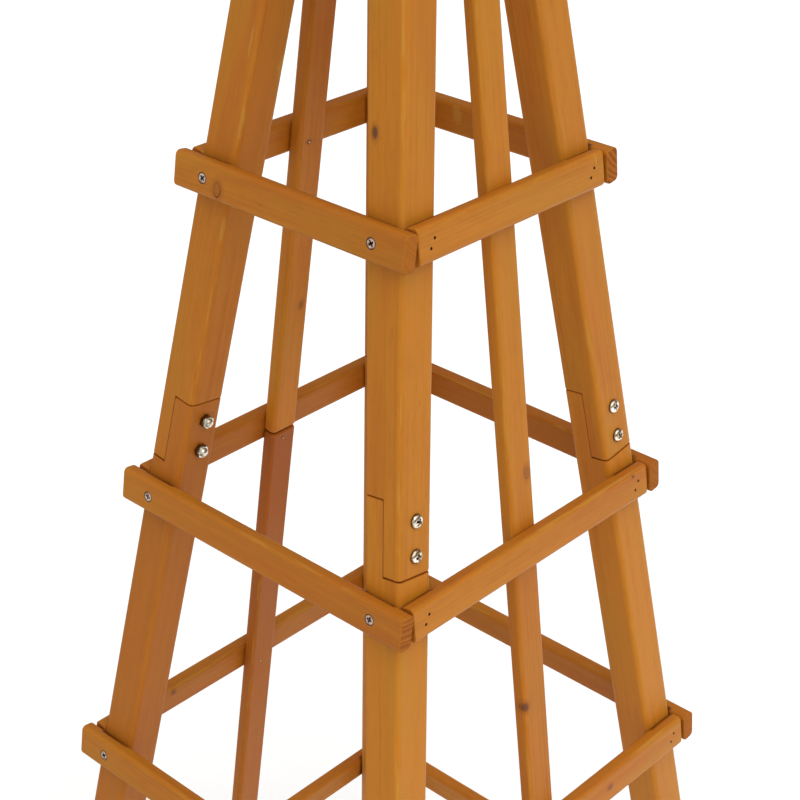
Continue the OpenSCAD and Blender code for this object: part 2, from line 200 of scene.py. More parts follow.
class ObeliskStage(bpy.types.PropertyGroup):
    """Camera, floor and light."""

    camera_place: bpy.props.FloatVectorProperty(
        name="Camera place", description="Where the camera stands", size=3,
        default=(0.8777, -0.9674, 1.5039), unit="LENGTH", subtype="XYZ")
    heading: share("Heading", "Direction of view, in degrees anticlockwise from +X", 132.46, -360, 360)
    dip: share("Dip", "How far the camera looks down, in degrees", 27.68, -90, 90)
    roll: share("Roll", "How far the camera leans, in degrees", 0.66, -45, 45)
    lens: share("Lens", "Focal length in millimetres", 82.7, 10, 300)
    shift_x: share("Shift across", "Lens shift across", 0.01525, -1, 1)
    shift_y: share("Shift up", "Lens shift up", -0.0446, -1, 1)
    sky: share("Sky strength", "Strength of the even light from all round", 0.68, 0, 5)
    key: share("Key strength", "Strength of the soft light from the right", 1.25, 0, 20)
    floor: colour("Floor", "Colour of the floor", (0.80, 0.80, 0.79))


# ---- layout ----

class Layout:
    """Works out where each piece of the obelisk goes, from its sizes."""

    def __init__(self, sizes, fixings):
        self.sizes = sizes
        self.fixings = fixings
        self.slope_x = sizes.foot_width / 2 / sizes.apex_height
        self.slope_y = sizes.foot_depth / 2 / sizes.apex_height
        self.lean_x = math.atan(self.slope_x)
        self.lean_y = math.atan(self.slope_y)
        # A leg is turned about Y and then X so that it leans both ways, which puts its section out of
        # square by skew. Each metre along it gains rise in height.
        self.tilt_y = -self.lean_x
        self.tilt_x = math.atan(self.slope_y * math.cos(self.lean_x))
        self.skew = math.atan(self.slope_y * math.sin(self.lean_x) * math.cos(self.tilt_x))
        self.rise = math.cos(self.tilt_x) * math.cos(self.tilt_y)
        self.lap_middle = sizes.lap_height / self.rise
        self.lap_low = self.lap_middle - sizes.lap_length / 2
        self.lap_high = self.lap_middle + sizes.lap_length / 2

    def half_x(self, z):
        """Half the width between the outer leg faces at height z."""
        return (self.sizes.apex_height - z) * self.slope_x

    def half_y(self, z):
        """Half the depth between the outer leg faces at height z."""
        return (self.sizes.apex_height - z) * self.slope_y

    def in_leg(self, u, v):
        """A point of a leg's section, from its distances to the side face and the front or back face."""
        return Vector((-u, (u * math.sin(self.skew) - v) / math.cos(self.skew)))

    def face(self, turn, z):
        """The frame of a leaning face: X along it, -Y out of it and Z up the slope."""
        side_face = turn in (90, 270)
        half = self.half_x(z) if side_face else self.half_y(z)
        lean = self.lean_x if side_face else self.lean_y
        return (Matrix.Rotation(math.radians(turn), 4, "Z") @ Matrix.Translation((0, -half, z))
                @ Matrix.Rotation(-lean, 4, "X"))

    def leg(self, side, end):
        """The frame of a leg: Z up the leg from the outer edge of its foot, X and Y outward."""
        s = self.sizes
        return (Matrix.Diagonal((side, end, 1, 1))
                @ Matrix.Translation((s.foot_width / 2, s.foot_depth / 2, 0))
                @ Matrix.Rotation(self.tilt_y, 4, "Y") @ Matrix.Rotation(self.tilt_x, 4, "X"))

    def into_face(self, turn, z, along, raised):
        """The frame of a fixing driven into a rail: its Z points into the wood."""
        return (self.face(turn, z) @ Matrix.Translation((along, -self.sizes.slat_thick, raised))
                @ Matrix.Rotation(-QUARTER, 4, "X"))

    def rail_screws(self, side, end, ring):
        """Frame of the screw that holds a long rail to a leg."""
        z = self.sizes.rail_heights[ring]
        along = (self.half_x(z) - self.sizes.leg_side / 2) * side * (1 if end == FRONT else -1)
        return [self.into_face(TURNS[END_NAMES[end]], z, along, 0)]

    def rail_brads(self, side, end, ring):
        """Frames of the two brads that hold a short rail to a leg."""
        z = self.sizes.rail_heights[ring]
        along = (self.half_y(z) - self.sizes.leg_side / 2) * end * (1 if side == RIGHT else -1)
        f = self.fixings
        return [self.into_face(TURNS[SIDE_NAMES[side]], z, along + step * f.brad_step_along,
                               step * f.brad_step_up) for step in (-1, 1)]

    def upright_brads(self, side, ring):
        """Frame of the brad from the inner side of an upright out into a side rail."""
        back, raised = BRAD_AT_JOINT if ring == JOINT_RING else BRAD_ELSEWHERE
        return [self.face(TURNS[SIDE_NAMES[side]], self.sizes.rail_heights[ring])
                @ Matrix.Translation((back * (1 if side == RIGHT else -1),
                                      self.sizes.slat_thick + self.fixings.brad_proud, raised))
                @ Matrix.Rotation(QUARTER, 4, "X")]

    def lap_bolts(self, side, end):
        """Frames of the two bolts of a lap, from the outer side face inward."""
        middle = self.in_leg(0, self.sizes.leg_side / 2)
        return [self.leg(side, end)
                @ Matrix.Translation((0, middle.y, self.lap_middle + step * self.sizes.bolt_spacing / 2))
                @ Matrix.Rotation(-QUARTER, 4, "Y") for step in (-1, 1)]

    def cap_screws(self):
        """Frames of the four screws through the cap, pointing down."""
        s = self.sizes
        x = self.half_x(s.leg_top) - s.leg_side / 2
        y = self.half_y(s.leg_top) - s.leg_side / 2
        return [Matrix.Translation((side * x, end * y, s.leg_top + s.cap_thick))
                @ Matrix.Rotation(math.pi, 4, "X") for side, end in CORNERS]


def layout_of(context):
    """The layout for the sizes kept in the scene, and those sizes: of the timber and of the fixings."""
    sizes, fixings = context.scene.obelisk_sizes, context.scene.obelisk_fixings
    return Layout(sizes, fixings), sizes, fixings


# ---- node trees ----

class Wiring:
    """Adds nodes to one tree and joins them, so that a rule reads as a few sums."""

    def __init__(self, tree):
        self.tree = tree

    def node(self, kind, feeds=None, **settings):
        """A new node, with its settings, and with its inputs joined or set."""
        made = self.tree.nodes.new(kind)
        made.location = (len(self.tree.nodes) % 12 * 190, -(len(self.tree.nodes) // 12) * 260)
        for name, value in settings.items():
            setattr(made, name, value)
        for key, value in (feeds or {}).items():
            self.feed(made.inputs[key], value)
        return made

    def made(self, kind, feeds=None, **settings):
        """The first output of a new node."""
        return self.node(kind, feeds, **settings).outputs[0]

    def feed(self, socket, value):
        """Joins a socket to another, or sets its value."""
        if isinstance(value, bpy.types.NodeSocket):
            self.tree.links.new(value, socket)
        else:
            socket.default_value = value

    def sum(self, operation, *values):
        """The result of a Math node."""
        return self.made("ShaderNodeMath", dict(enumerate(values)), operation=operation)

    def plus(self, first, second):
        """Two numbers added."""
        return self.sum("ADD", first, second)

    def minus(self, first, second):
        """The first number less the second."""
        return self.sum("SUBTRACT", first, second)

    def times(self, first, second):
        """Two numbers multiplied."""
        return self.sum("MULTIPLY", first, second)

    def times_plus(self, first, second, third):
        """Two numbers multiplied, and a third added."""
        return self.sum("MULTIPLY_ADD", first, second, third)

    def larger(self, first, second):
        """The larger of two numbers."""
        return self.sum("MAXIMUM", first, second)

    def sway(self, value, noise, spread):
        """A number moved up or down by noise, over so wide a spread."""
        return self.times_plus(self.minus(noise, 0.5), spread, value)

    def vector(self, operation, *values):
        """The result of a Vector Math node."""
        made = self.node("ShaderNodeVectorMath", operation=operation)
        if operation == "SCALE":
            self.feed(made.inputs[0], values[0])
            self.feed(made.inputs["Scale"], values[1])
        else:
            for socket, value in zip(made.inputs, values):
                self.feed(socket, value)
        return made.outputs["Value" if operation in ("LENGTH", "DOT_PRODUCT") else "Vector"]

    def xyz(self, x, y, z):
        """Three numbers as a vector."""
        return self.made("ShaderNodeCombineXYZ", {0: x, 1: y, 2: z})

    def split(self, vector):
        """A vector as three numbers."""
        return tuple(self.node("ShaderNodeSeparateXYZ", {0: vector}).outputs)

    def position(self):
        """The place of each point of a geometry, as three numbers."""
        return self.split(self.made("GeometryNodeInputPosition"))

    def moved(self, geometry, x, y, z):
        """A geometry with its points at new places."""
        return self.made("GeometryNodeSetPosition", {"Geometry": geometry, "Position": self.xyz(x, y, z)})

    def ease(self, value, low, high, start=0.0, stop=1.0):
        """A smooth step from start to stop, as value goes from low to high."""
        return self.made("ShaderNodeMapRange", {0: value, 1: low, 2: high, 3: start, 4: stop},
                         interpolation_type="SMOOTHSTEP")

    def blend(self, factor, first, second):
        """Two colours mixed."""
        return self.node("ShaderNodeMix", {0: factor, 6: first, 7: second}, data_type="RGBA").outputs[2]

    def noise(self, vector, scale=1.0, detail=2.0, roughness=0.5):
        """Smooth noise from 0 to 1."""
        return self.made("ShaderNodeTexNoise", {"Vector": vector, "Scale": scale, "Detail": detail,
                                                "Roughness": roughness})

    def noise_along(self, place, scale=1.0, detail=1.0):
        """Smooth noise from 0 to 1 on one number."""
        return self.made("ShaderNodeTexNoise", {"W": place, "Scale": scale, "Detail": detail},
                         noise_dimensions="1D")


def new_tree(name, kind, inputs, outputs):
    """A node tree with named inputs and outputs, and its Wiring and input sockets."""
    tree = bpy.data.node_groups.new(name, kind)
    for direction, sockets in (("INPUT", inputs), ("OUTPUT", outputs)):
        for label, socket_type, value in sockets:
            made = tree.interface.new_socket(name=label, in_out=direction, socket_type=socket_type)
            if value is not None:
                made.default_value = value
    wires = Wiring(tree)
    given = wires.node("NodeGroupInput").outputs
    return tree, wires, given


def maker_tree(name, sizes):
    """A geometry tree whose inputs are those sizes and a material."""
    sockets = [("Geometry", "NodeSocketGeometry", None)]
    sockets += [(label, "NodeSocketFloat", value) for label, value in sizes.items()]
    sockets += [("Material", "NodeSocketMaterial", None)]
    return new_tree(name, "GeometryNodeTree", sockets, [("Geometry", "NodeSocketGeometry", None)])


def end_maker(w, given, geometry):
    """Ends a geometry tree in real mesh with the tree's material."""
    solid = w.made("GeometryNodeRealizeInstances", {"Geometry": geometry})
    solid = w.made("GeometryNodeSetMaterial", {"Geometry": solid, "Material": given["Material"]})
    w.node("NodeGroupOutput", {"Geometry": solid})


def run_tree(tree, name, base, values):
    """Works a geometry tree out on a base mesh, with its inputs set by name, and returns a plain mesh."""
    worker = in_scene(name + "_work", base)
    modifier = worker.modifiers.new("Maker", "NODES")
    modifier.node_group = tree
    for item in tree.interface.items_tree:
        if item.item_type == "SOCKET" and item.in_out == "INPUT" and item.name in values:
            modifier[item.identifier] = values[item.name]
    mesh = settled(worker)
    mesh.name = name
    bpy.data.objects.remove(worker)
    return mesh


def settled(worker):
    """The object's mesh with its modifiers worked out, as a new plain mesh."""
    bpy.context.view_layer.update()
    graph = bpy.context.evaluated_depsgraph_get()
    return bpy.data.meshes.new_from_object(worker.evaluated_get(graph), preserve_all_data_layers=True,
                                           depsgraph=graph)


# ---- finishes ----

# Knots: the piece, the place along, across and through it from its middle line, half the knot's
# length and width, and how dark its core and its outline are.
KNOTS = (
    ("leg_front_right_upper", 1.083, -0.0083, 0.0175, 0.0045, 0.0027, 0.85, 0.5),
    ("leg_front_left_lower", 0.300, 0.0060, 0.0175, 0.0064, 0.0042, 0.7, 0.6),
    ("leg_back_right_lower", 0.365, -0.0175, 0.0040, 0.0060, 0.0040, 0.8, 0.6),
    ("leg_back_left_upper", 1.180, 0.0175, -0.0050, 0.0052, 0.0034, 0.8, 0.6),
    ("rail_front_4", -0.0694, -0.0046, 0.0065, 0.0036, 0.0058, 0.0, 1.0),
    ("rail_front_1", 0.096, 0.0050, 0.0065, 0.0052, 0.0036, 0.6, 0.7),
    ("rail_back_2", -0.060, -0.0040, 0.0065, 0.0060, 0.0040, 0.6, 0.7),
    ("rail_right_2", 0.0742, 0.0010, 0.0065, 0.0032, 0.0024, 0.6, 0.6),
    ("rail_left_2", 0.1018, 0.0085, -0.0065, 0.0024, 0.0024, 0.7, 0.8),
    ("rail_right_3", 0.125, 0.0098, 0.0065, 0.0018, 0.0014, 0.9, 0.3),
    ("upright_right_lower", -0.1400, -0.0125, 0.0060, 0.0042, 0.0034, 0.8, 0.5),
    ("upright_right_upper", 0.2251, 0.0073, 0.0065, 0.0050, 0.0034, 0.25, 0.6),
    ("upright_left_upper", 0.160, -0.0050, -0.0065, 0.0036, 0.0024, 0.4, 0.5),
    ("upright_left_upper", 0.0058, 0.0040, -0.0065, 0.0018, 0.0026, 0.35, 0.7),
)
# Small filled or scuffed patches: the piece, the place, half their length and width, and their strength.
PATCHES = (
    ("rail_back_4", 0.033, 0.006, -0.0065, 0.0050, 0.0100, 0.6),
    ("rail_right_4", 0.0955, 0.0095, 0.0065, 0.0008, 0.0060, 0.7),
    ("leg_front_left_upper", 1.120, -0.012, 0.0175, 0.0160, 0.0014, 0.5),
    ("leg_front_left_upper", 1.056, -0.0160, 0.0165, 0.0200, 0.0012, 0.5),
    ("leg_front_left_upper", 0.972, -0.0160, 0.0165, 0.0110, 0.0014, 0.5),
    ("leg_front_left_upper", 1.098, -0.0172, -0.0135, 0.0110, 0.0012, 0.6),
    ("leg_front_left_lower", 0.790, 0.010, 0.0175, 0.0120, 0.0009, 0.5),
)
# Pieces that took the stain differently, whose rings lie another way, or show more on the sawn end.
TRAITS = {
    "leg_front_left_upper": {"tone": -0.03}, "leg_front_left_lower": {"tone": -0.09},
    "leg_back_right_lower": {"tone": 0.04}, "leg_back_left_upper": {"tone": -0.04},
    "upright_left_lower": {"tone": -0.13, "drift": 0.25},
    "upright_left_upper": {"tone": -0.03, "drift": 0.46},
    "upright_right_lower": {"tone": -0.06},
    "rail_left_2": {"tone": -0.05, "cover": 1.0}, "rail_left_3": {"tone": -0.06, "cover": 1.0},
    "rail_left_4": {"tone": 0.04, "cover": 1.0},
    "rail_back_2": {"tone": -0.04}, "rail_back_3": {"tone": -0.10},
    "rail_back_4": {"tone": -0.03, "heart": 0.8, "rings": 1.15},
    "rail_right_2": {"tone": 0.03}, "rail_front_2": {"tone": -0.03, "heart": 1.75, "rings": 0.6},
    "rail_front_3": {"tone": -0.05, "drift": -0.10, "heart": 1.52, "rings": 1.0},
    "rail_front_4": {"tone": -0.03, "drift": -0.15, "heart": 2.3, "rings": 0.25},
}
# How sharply a knot and a patch end into the wood: one over their depth in metres.
KNOT_FADE, PATCH_FADE = 150.0, 250.0
# How near the heart of the tree may lie to a piece, and how much further it may be.
HEART_NEAREST, HEART_RANGE = 0.035, 0.05
# The share of the growth rings that shows on a sawn end, how strongly, and how dark its lines are.
END_RINGS, END_STRENGTH, END_TINT = 0.62, 0.75, (0.50, 0.36, 0.40)
# The colour inside a hole, painted nearly black as painted shade with dark filler, and how strongly the long
# edges show wear and painted glints.
HOLE_DARK = (0.030, 0.011, 0.004, 1.0)
WEAR_AND_GLINT = 0.45


def softwood_group(context):
    """Stained softwood. It reads the piece's own grain coordinates, in metres: X along the grain."""
    name = "Stained softwood"
    if name in bpy.data.node_groups:
        return bpy.data.node_groups[name]
    look = context.scene.obelisk_finishes
    paint = {key: (*getattr(look, key), 1.0) for key in (
        "wood", "late", "golden", "ruddy", "end", "joint_shade", "knot", "halo", "outline", "filler")}
    tree, w, given = new_tree(
        name, "ShaderNodeTree",
        [("Half Width", "NodeSocketFloat", 0.0175), ("Half Thickness", "NodeSocketFloat", 0.0175),
         ("Depth", "NodeSocketFloat", 0.0), ("Brightness", "NodeSocketFloat", 1.0),
         ("Contact", "NodeSocketFloat", 0.0)],
        [("Color", "NodeSocketColor", None), ("Roughness", "NodeSocketFloat", None),
         ("Height", "NodeSocketFloat", None)])

    def own(attribute, output="Fac"):
        return w.node("ShaderNodeAttribute", attribute_name=attribute).outputs[output]

    grain = own("grain", "Vector")
    end, hole, seam, heart, cover = (own(k) for k in ("end_grain", "hole", "seam", "heart", "cover"))
    x, y, z = w.split(grain)

    def stretched(along, across, detail=2.0, roughness=0.5):
        """Noise drawn out along the grain: so many waves to the metre along and across it."""
        place = w.vector("MULTIPLY", grain, (along, across, across))
        return w.noise(place, detail=detail, roughness=roughness)

    def shifted(by, scale):
        """The grain coordinates moved, and then scaled."""
        return w.vector("MULTIPLY", w.vector("ADD", grain, by), scale)

    def from_spot(piece, along, across, through, half_long, half_wide, fade):
        """The way here from a spot on one piece: 1 long where the spot ends."""
        middle = (-NUMBERS[piece] * GRAIN_STEP - along, -across, -through)
        return shifted(middle, (1 / half_long, 1 / half_wide, fade))

    number = w.sum("FLOOR", w.sum("DIVIDE", w.plus(x, GRAIN_STEP / 2), GRAIN_STEP))
    chance = w.node("ShaderNodeTexWhiteNoise", {"W": w.plus(number, 0.37)},
                    noise_dimensions="1D").outputs["Color"]
    _, chance_y, chance_z = w.split(chance)
    from_middle = w.minus(x, w.times(number, GRAIN_STEP))
    tone = w.times_plus(own("drift"), from_middle, own("tone"))

    # Growth rings run round a heart that lies outside the piece, and wander a little along it.
    heart_far = w.times_plus(chance_y, HEART_RANGE, HEART_NEAREST)
    heart_y = w.times(heart_far, w.sum("SINE", heart))
    heart_z = w.times(heart_far, w.sum("COSINE", heart))
    from_heart = w.vector("LENGTH", w.xyz(0.0, w.minus(y, heart_y), w.minus(z, heart_z)))
    radius = w.sway(from_heart, stretched(1.6, 16), 0.012)
    radius = w.sway(radius, stretched(11, 70), 0.0012)
    core = halo = line_round = patch = 0.0
    for *spot, dark, outline in KNOTS:
        away = from_spot(*spot, KNOT_FADE)
        far = w.sway(w.vector("LENGTH", away), stretched(320, 320), 0.4)
        core = w.larger(core, w.ease(far, 0.6, 1.0, dark, 0.0))
        # The line round a knot is darkest on one side.
        side = w.ease(w.vector("DOT_PRODUCT", away, (0.6, -0.8, 0.0)), -1.0, 1.0, 0.35, 1.0)
        rim = w.times(w.ease(far, 0.74, 0.92), w.ease(far, 0.98, 1.15, outline, 0.0))
        line_round = w.larger(line_round, w.times(rim, side))
        halo = w.larger(halo, w.ease(far, 0.8, 2.4, 0.45, 0.0))
    for *spot, strength in PATCHES:
        away = from_spot(*spot, PATCH_FADE)
        far = w.sway(w.vector("LENGTH", away), stretched(150, 300), 1.2)
        patch = w.larger(patch, w.ease(far, 0.6, 1.1, strength, 0.0))
    radius = w.times_plus(halo, 0.008, radius)

    rings = w.sum("DIVIDE", radius, look.ring_width)
    wander = w.noise_along(w.plus(radius, w.times(number, 0.73)), 130.0)
    rings = w.times_plus(wander, 2.4, rings)
    year = w.sum("FRACT", rings)
    line = w.times(w.ease(year, 0.15, 0.84), w.ease(year, 0.88, 1.0, 1.0, 0.0))
    strength = w.noise_along(w.plus(radius, w.times(number, 1.31)), 75.0)
    fade = w.ease(stretched(3.0, 20), 0.35, 0.65, 0.35, 1.0)
    line = w.times(line, w.times(fade, w.ease(strength, 0.35, 0.75, 0.2, 1.0)))

    # Long streaks, fine fibres, short resin flecks, and patches where the stain took more or less.
    streak = stretched(2.4, 240, 3.0, 0.6)
    fibre = stretched(30, 1300)
    fleck = w.times(w.ease(stretched(60, 620, 1.0), 0.64, 0.76), w.ease(stretched(4, 60), 0.5, 0.62))
    cloud = stretched(7, 30, 3.0)
    mottle = w.noise(shifted((0.4, 0.9, 0.6), (70.0, 190.0, 190.0)))
    depth = w.sway(w.times(line, 0.34), streak, 0.75)
    depth = w.sway(depth, cloud, 0.55)
    depth = w.sway(depth, mottle, 0.5)
    depth = w.times_plus(fleck, 0.5, depth)
    depth = w.plus(depth, given["Depth"])
    depth = w.made("ShaderNodeClamp", {0: depth})
    skin = w.blend(depth, paint["wood"], paint["late"])
    skin = w.blend(w.ease(stretched(9, 42, 2.0), 0.42, 0.72, 0.0, 0.55), skin, paint["golden"])
    deep = w.noise(shifted((1.7, 0.3, 0.2), (5.0, 36.0, 36.0)))
    skin = w.blend(w.ease(deep, 0.50, 0.75, 0.0, 0.45), skin, paint["ruddy"])

    # Painted shade darkens a rail where it lies against a leg, and the seams of the laps, standing in for the
    # shadow in those gaps. The stain wears thin along the rounded edges, partly as painted glints.
    long_face = w.minus(1.0, end)
    gap_y = w.minus(given["Half Width"], w.sum("ABSOLUTE", y))
    gap_z = w.minus(given["Half Thickness"], w.sum("ABSOLUTE", z))
    arris = w.ease(w.larger(gap_y, gap_z), 0.0008, 0.0042, 1.0, 0.0)
    rim = w.ease(w.sum("MINIMUM", gap_y, gap_z), 0.0002, 0.0012, 1.0, 0.0)
    at_leg = w.minus(w.sum("ABSOLUTE", from_middle), cover)
    at_leg = w.times(w.ease(at_leg, -0.004, 0.002), w.ease(at_leg, 0.030, 0.034, 1.0, 0.0))
    at_leg = w.times(at_leg, w.minus(given["Contact"], end))
    inner = w.ease(w.plus(z, given["Half Thickness"]), 0.0032, 0.0056, 1.0, 0.0)
    inner = w.times(inner, w.ease(stretched(25, 60), 0.3, 0.6, 0.6, 1.0))
    # Painted shade in the contact of rail and leg and in the lap seams.
    joint_shade = w.larger(w.times(at_leg, inner), w.times(seam, 0.62))
    # Pale flecks along the rounded edges: partly stain rubbed thin, partly painted glints.
    wear_and_glint = w.times(w.ease(stretched(30, 420, 1.0), 0.5, 0.6), w.ease(stretched(6, 24, 1.0), 0.45, 0.58))
    wear_and_glint = w.times(w.times(wear_and_glint, arris), w.times(long_face, WEAR_AND_GLINT))

    # Sawn ends drink more stain and show the rings as arcs.
    end_year = w.sum("FRACT", w.times(rings, END_RINGS))
    end_line = w.times(w.ease(end_year, 0.15, 0.62), w.ease(end_year, 0.7, 1.0, 1.0, 0.0))
    end_dark = tuple(c * k for c, k in zip(paint["end"], END_TINT)) + (1.0,)
    end_line = w.times(end_line, w.times(own("rings"), END_STRENGTH))
    end_skin = w.blend(w.times_plus(rim, -0.3, end_line), paint["end"], end_dark)
    end_skin = w.blend(w.ease(stretched(700, 700), 0.42, 0.75, 0.0, 0.35), end_skin, paint["wood"])
    # Darker pieces are redder. The narrow faces of rails are painted redder and darker too, as painted shade
    # that tones down their lit upper faces.
    ruddy = w.made("ShaderNodeMapRange", {0: tone, 1: -0.2, 2: 0.0, 3: 1.0, 4: 0.0})
    narrow = w.times(w.ease(gap_y, 0.0004, 0.0034, 1.0, 0.0), given["Contact"])
    ruddy = w.larger(ruddy, w.times(narrow, 0.2))
    for share_over, over in ((ruddy, paint["ruddy"]), (wear_and_glint, paint["filler"]), (end, end_skin),
                             (patch, paint["filler"]), (halo, paint["halo"]), (line_round, paint["outline"]),
                             (core, paint["knot"]), (joint_shade, paint["joint_shade"]), (hole, HOLE_DARK)):
        skin = w.blend(share_over, skin, over)

    light = w.sway(given["Brightness"], fibre, 0.22)
    light = w.sway(light, chance_z, 0.06)
    # Painted highlight, partly stain rubbed thin: the rounded long edges are made a little lighter.
    light = w.times_plus(w.times(arris, long_face), 0.04, light)
    # Painted shade: the narrow faces of rails are made a little darker.
    light = w.times_plus(narrow, -0.05, w.plus(light, tone))
    skin = w.vector("SCALE", skin, light)

    rough = w.times_plus(streak, 0.14, 0.42)
    rough = w.times_plus(end, 0.25, rough)
    height = w.times_plus(fibre, 0.45, w.times(line, 0.5))
    height = w.times_plus(core, -0.8, height)
    height = w.times_plus(fleck, -0.5, height)
    w.node("NodeGroupOutput", {"Color": skin, "Roughness": rough, "Height": height})
    return tree


def emptied(holder):
    """The Wiring of a material's or a world's own tree, with its first nodes taken out."""
    holder.use_nodes = True
    holder.node_tree.nodes.clear()
    return Wiring(holder.node_tree)


def fresh_material(name):
    """A new material, its Wiring and its shader, joined to the output."""
    material = bpy.data.materials.new(name)
    w = emptied(material)
    shader = w.node("ShaderNodeBsdfPrincipled")
    w.node("ShaderNodeOutputMaterial", {"Surface": shader.outputs[0]})
    return material, w, shader


def wood(context, name, half_width, half_thickness, **changes):
    """Stained softwood for one kind of piece, whose section reaches half_width and half_thickness."""
    if name in bpy.data.materials:
        return bpy.data.materials[name]
    material, w, shader = fresh_material(name)
    group = w.node("ShaderNodeGroup", node_tree=softwood_group(context))
    group.inputs["Half Width"].default_value = half_width
    group.inputs["Half Thickness"].default_value = half_thickness
    for label, value in changes.items():
        group.inputs[label].default_value = value
    bump = w.made("ShaderNodeBump", {"Strength": 0.3, "Distance": 0.00025,
                                     "Height": group.outputs["Height"]})
    # Painted shade: the colour is darkened where the surface turns away from the camera, so long edges and
    # outlines look darker.
    away = w.node("ShaderNodeLayerWeight", {"Blend": 0.5}).outputs["Facing"]
    skin = w.vector("SCALE", group.outputs["Color"], w.ease(away, 0.70, 0.98, 1.0, 0.55))
    w.feed(shader.inputs["Base Color"], skin)
    w.feed(shader.inputs["Roughness"], group.outputs["Roughness"])
    w.feed(shader.inputs["Normal"], bump)
    shader.inputs["IOR"].default_value = 1.27
    return material


# How dark the recess of a head is painted, as painted shade.
RECESS_DARK = 0.95


def metal(context, name, key, roughness, dull_and_reflection):
    """Plated metal with duller patches, which partly stand in as painted dark reflections; dark, as painted
    shade, where the piece's grime attribute says.
    """
    if name in bpy.data.materials:
        return bpy.data.materials[name]
    paint = getattr(context.scene.obelisk_finishes, key)
    material, w, shader = fresh_material(name)
    place = w.node("ShaderNodeTexCoord").outputs["Object"]
    cloud = w.noise(place, 360.0, 3.0, 0.6)
    fine = w.noise(place, 2600.0, 2.0)
    # Painted reflection, partly patchy plating: darker patches stand in for dark reflections in the metal.
    dark = tuple(c * k for c, k in zip(paint, dull_and_reflection))
    skin = w.blend(w.ease(cloud, 0.38, 0.60), (*dark, 1.0), (*paint, 1.0))
    darkening = w.node("ShaderNodeAttribute", attribute_name="grime").outputs["Fac"]
    grime = w.made("ShaderNodeClamp", {0: w.sway(darkening, fine, 0.3)})
    skin = w.blend(grime, skin, (*context.scene.obelisk_finishes.grime, 1.0))
    w.feed(shader.inputs["Base Color"], skin)
    # A darkened recess has no gloss.
    rough = w.times_plus(fine, 0.18, roughness - 0.09)
    matt = w.ease(darkening, RECESS_DARK - 0.07, RECESS_DARK - 0.01, 0.0, 0.9)
    w.feed(shader.inputs["Roughness"], w.larger(rough, matt))
    bump = w.made("ShaderNodeBump", {"Strength": 0.25, "Distance": 0.00004, "Height": fine})
    w.feed(shader.inputs["Normal"], bump)
    shader.inputs["Metallic"].default_value = 1.0
    return material


# ---- mesh helpers ----

def arc(centre, radius, start, stop, steps):
    """Points on an arc, its angles in radians."""
    return [Vector((centre[0] + radius * math.cos(start + (stop - start) * i / steps),
                    centre[1] + radius * math.sin(start + (stop - start) * i / steps)))
            for i in range(steps + 1)]


def in_scene(name, data):
    """A new object with that data, in the scene."""
    made = bpy.data.objects.new(name, data)
    bpy.context.scene.collection.objects.link(made)
    return made


def band(bm, low, high):
    """Faces between two rings of corners, either of which may be a single pole."""
    count = max(len(low), len(high))
    for i in range(count):
        j = (i + 1) % count
        corners = [low[i % len(low)], low[j % len(low)], high[j % len(high)], high[i % len(high)]]
        bm.faces.new(list(dict.fromkeys(corners)))


def as_mesh(bm, name):
    """The finished bmesh as a mesh."""
    mesh = bpy.data.meshes.new(name)
    bm.to_mesh(mesh)
    bm.free()
    return mesh


def turned(profile, steps):
    """A closed mesh turned about Z, from (radius, height) points that start and end on the axis."""
    bm = bmesh.new()
    rings = []
    for radius, height in profile:
        if radius < 1e-9:
            rings.append([bm.verts.new((0, 0, height))])
        else:
            rings.append([bm.verts.new((radius * math.cos(math.tau * i / steps),
                                        radius * math.sin(math.tau * i / steps), height))
                          for i in range(steps)])
    for low, high in zip(rings, rings[1:]):
        band(bm, low, high)
    bmesh.ops.recalc_face_normals(bm, faces=bm.faces)
    return as_mesh(bm, "turned")


def drill(bm, place, profile, steps=20):
    """Adds to bm a drill bit for a hole: profile is (radius, depth) along the Z of place."""
    bit = turned([(0, profile[0][1]), *profile, (0, profile[-1][1])], steps)
    bit.transform(place)
    if place.determinant() < 0:
        bit.flip_normals()
    bm.from_mesh(bit)
    bpy.data.meshes.remove(bit)


def worked(name, mesh, drills, bevel=0.0):
    """The mesh with its marked edges eased by bevel, its holes drilled, and its flat faces shaded flat."""
    worker = in_scene(name + "_work", mesh)
    for polygon in mesh.polygons:
        polygon.use_smooth = True
    if bevel:
        ease = worker.modifiers.new("Ease", "BEVEL")
        ease.width, ease.segments, ease.limit_method = bevel, 3, "WEIGHT"
    bit = None
    if drills:
        bm = bmesh.new()
        for place, profile in drills:
            drill(bm, place, profile)
        bit = in_scene(name + "_bits", as_mesh(bm, name + "_bits"))
        cut = worker.modifiers.new("Drill", "BOOLEAN")
        cut.operation, cut.solver, cut.object = "DIFFERENCE", "EXACT", bit
    even = worker.modifiers.new("Even shading", "WEIGHTED_NORMAL")
    even.weight = 100
    made = settled(worker)
    bpy.data.objects.remove(worker)
    if bit:
        bpy.data.objects.remove(bit)
    made.name = name
    return made


# A face is a sawn end from this much along the grain, and fully one after this much more.
END_FROM, END_RANGE = 0.5, 0.35
# How near a face is to the bore or the seam that it belongs to.
NEAR_BORE, NEAR_SEAM = 0.0001, 0.0005
# How far the heart turns round a piece from one number to the next, and how plainly a sawn end
# shows its rings where TRAITS doesn't say.
HEART_TURN, PLAIN_RINGS = 2.4, 0.35


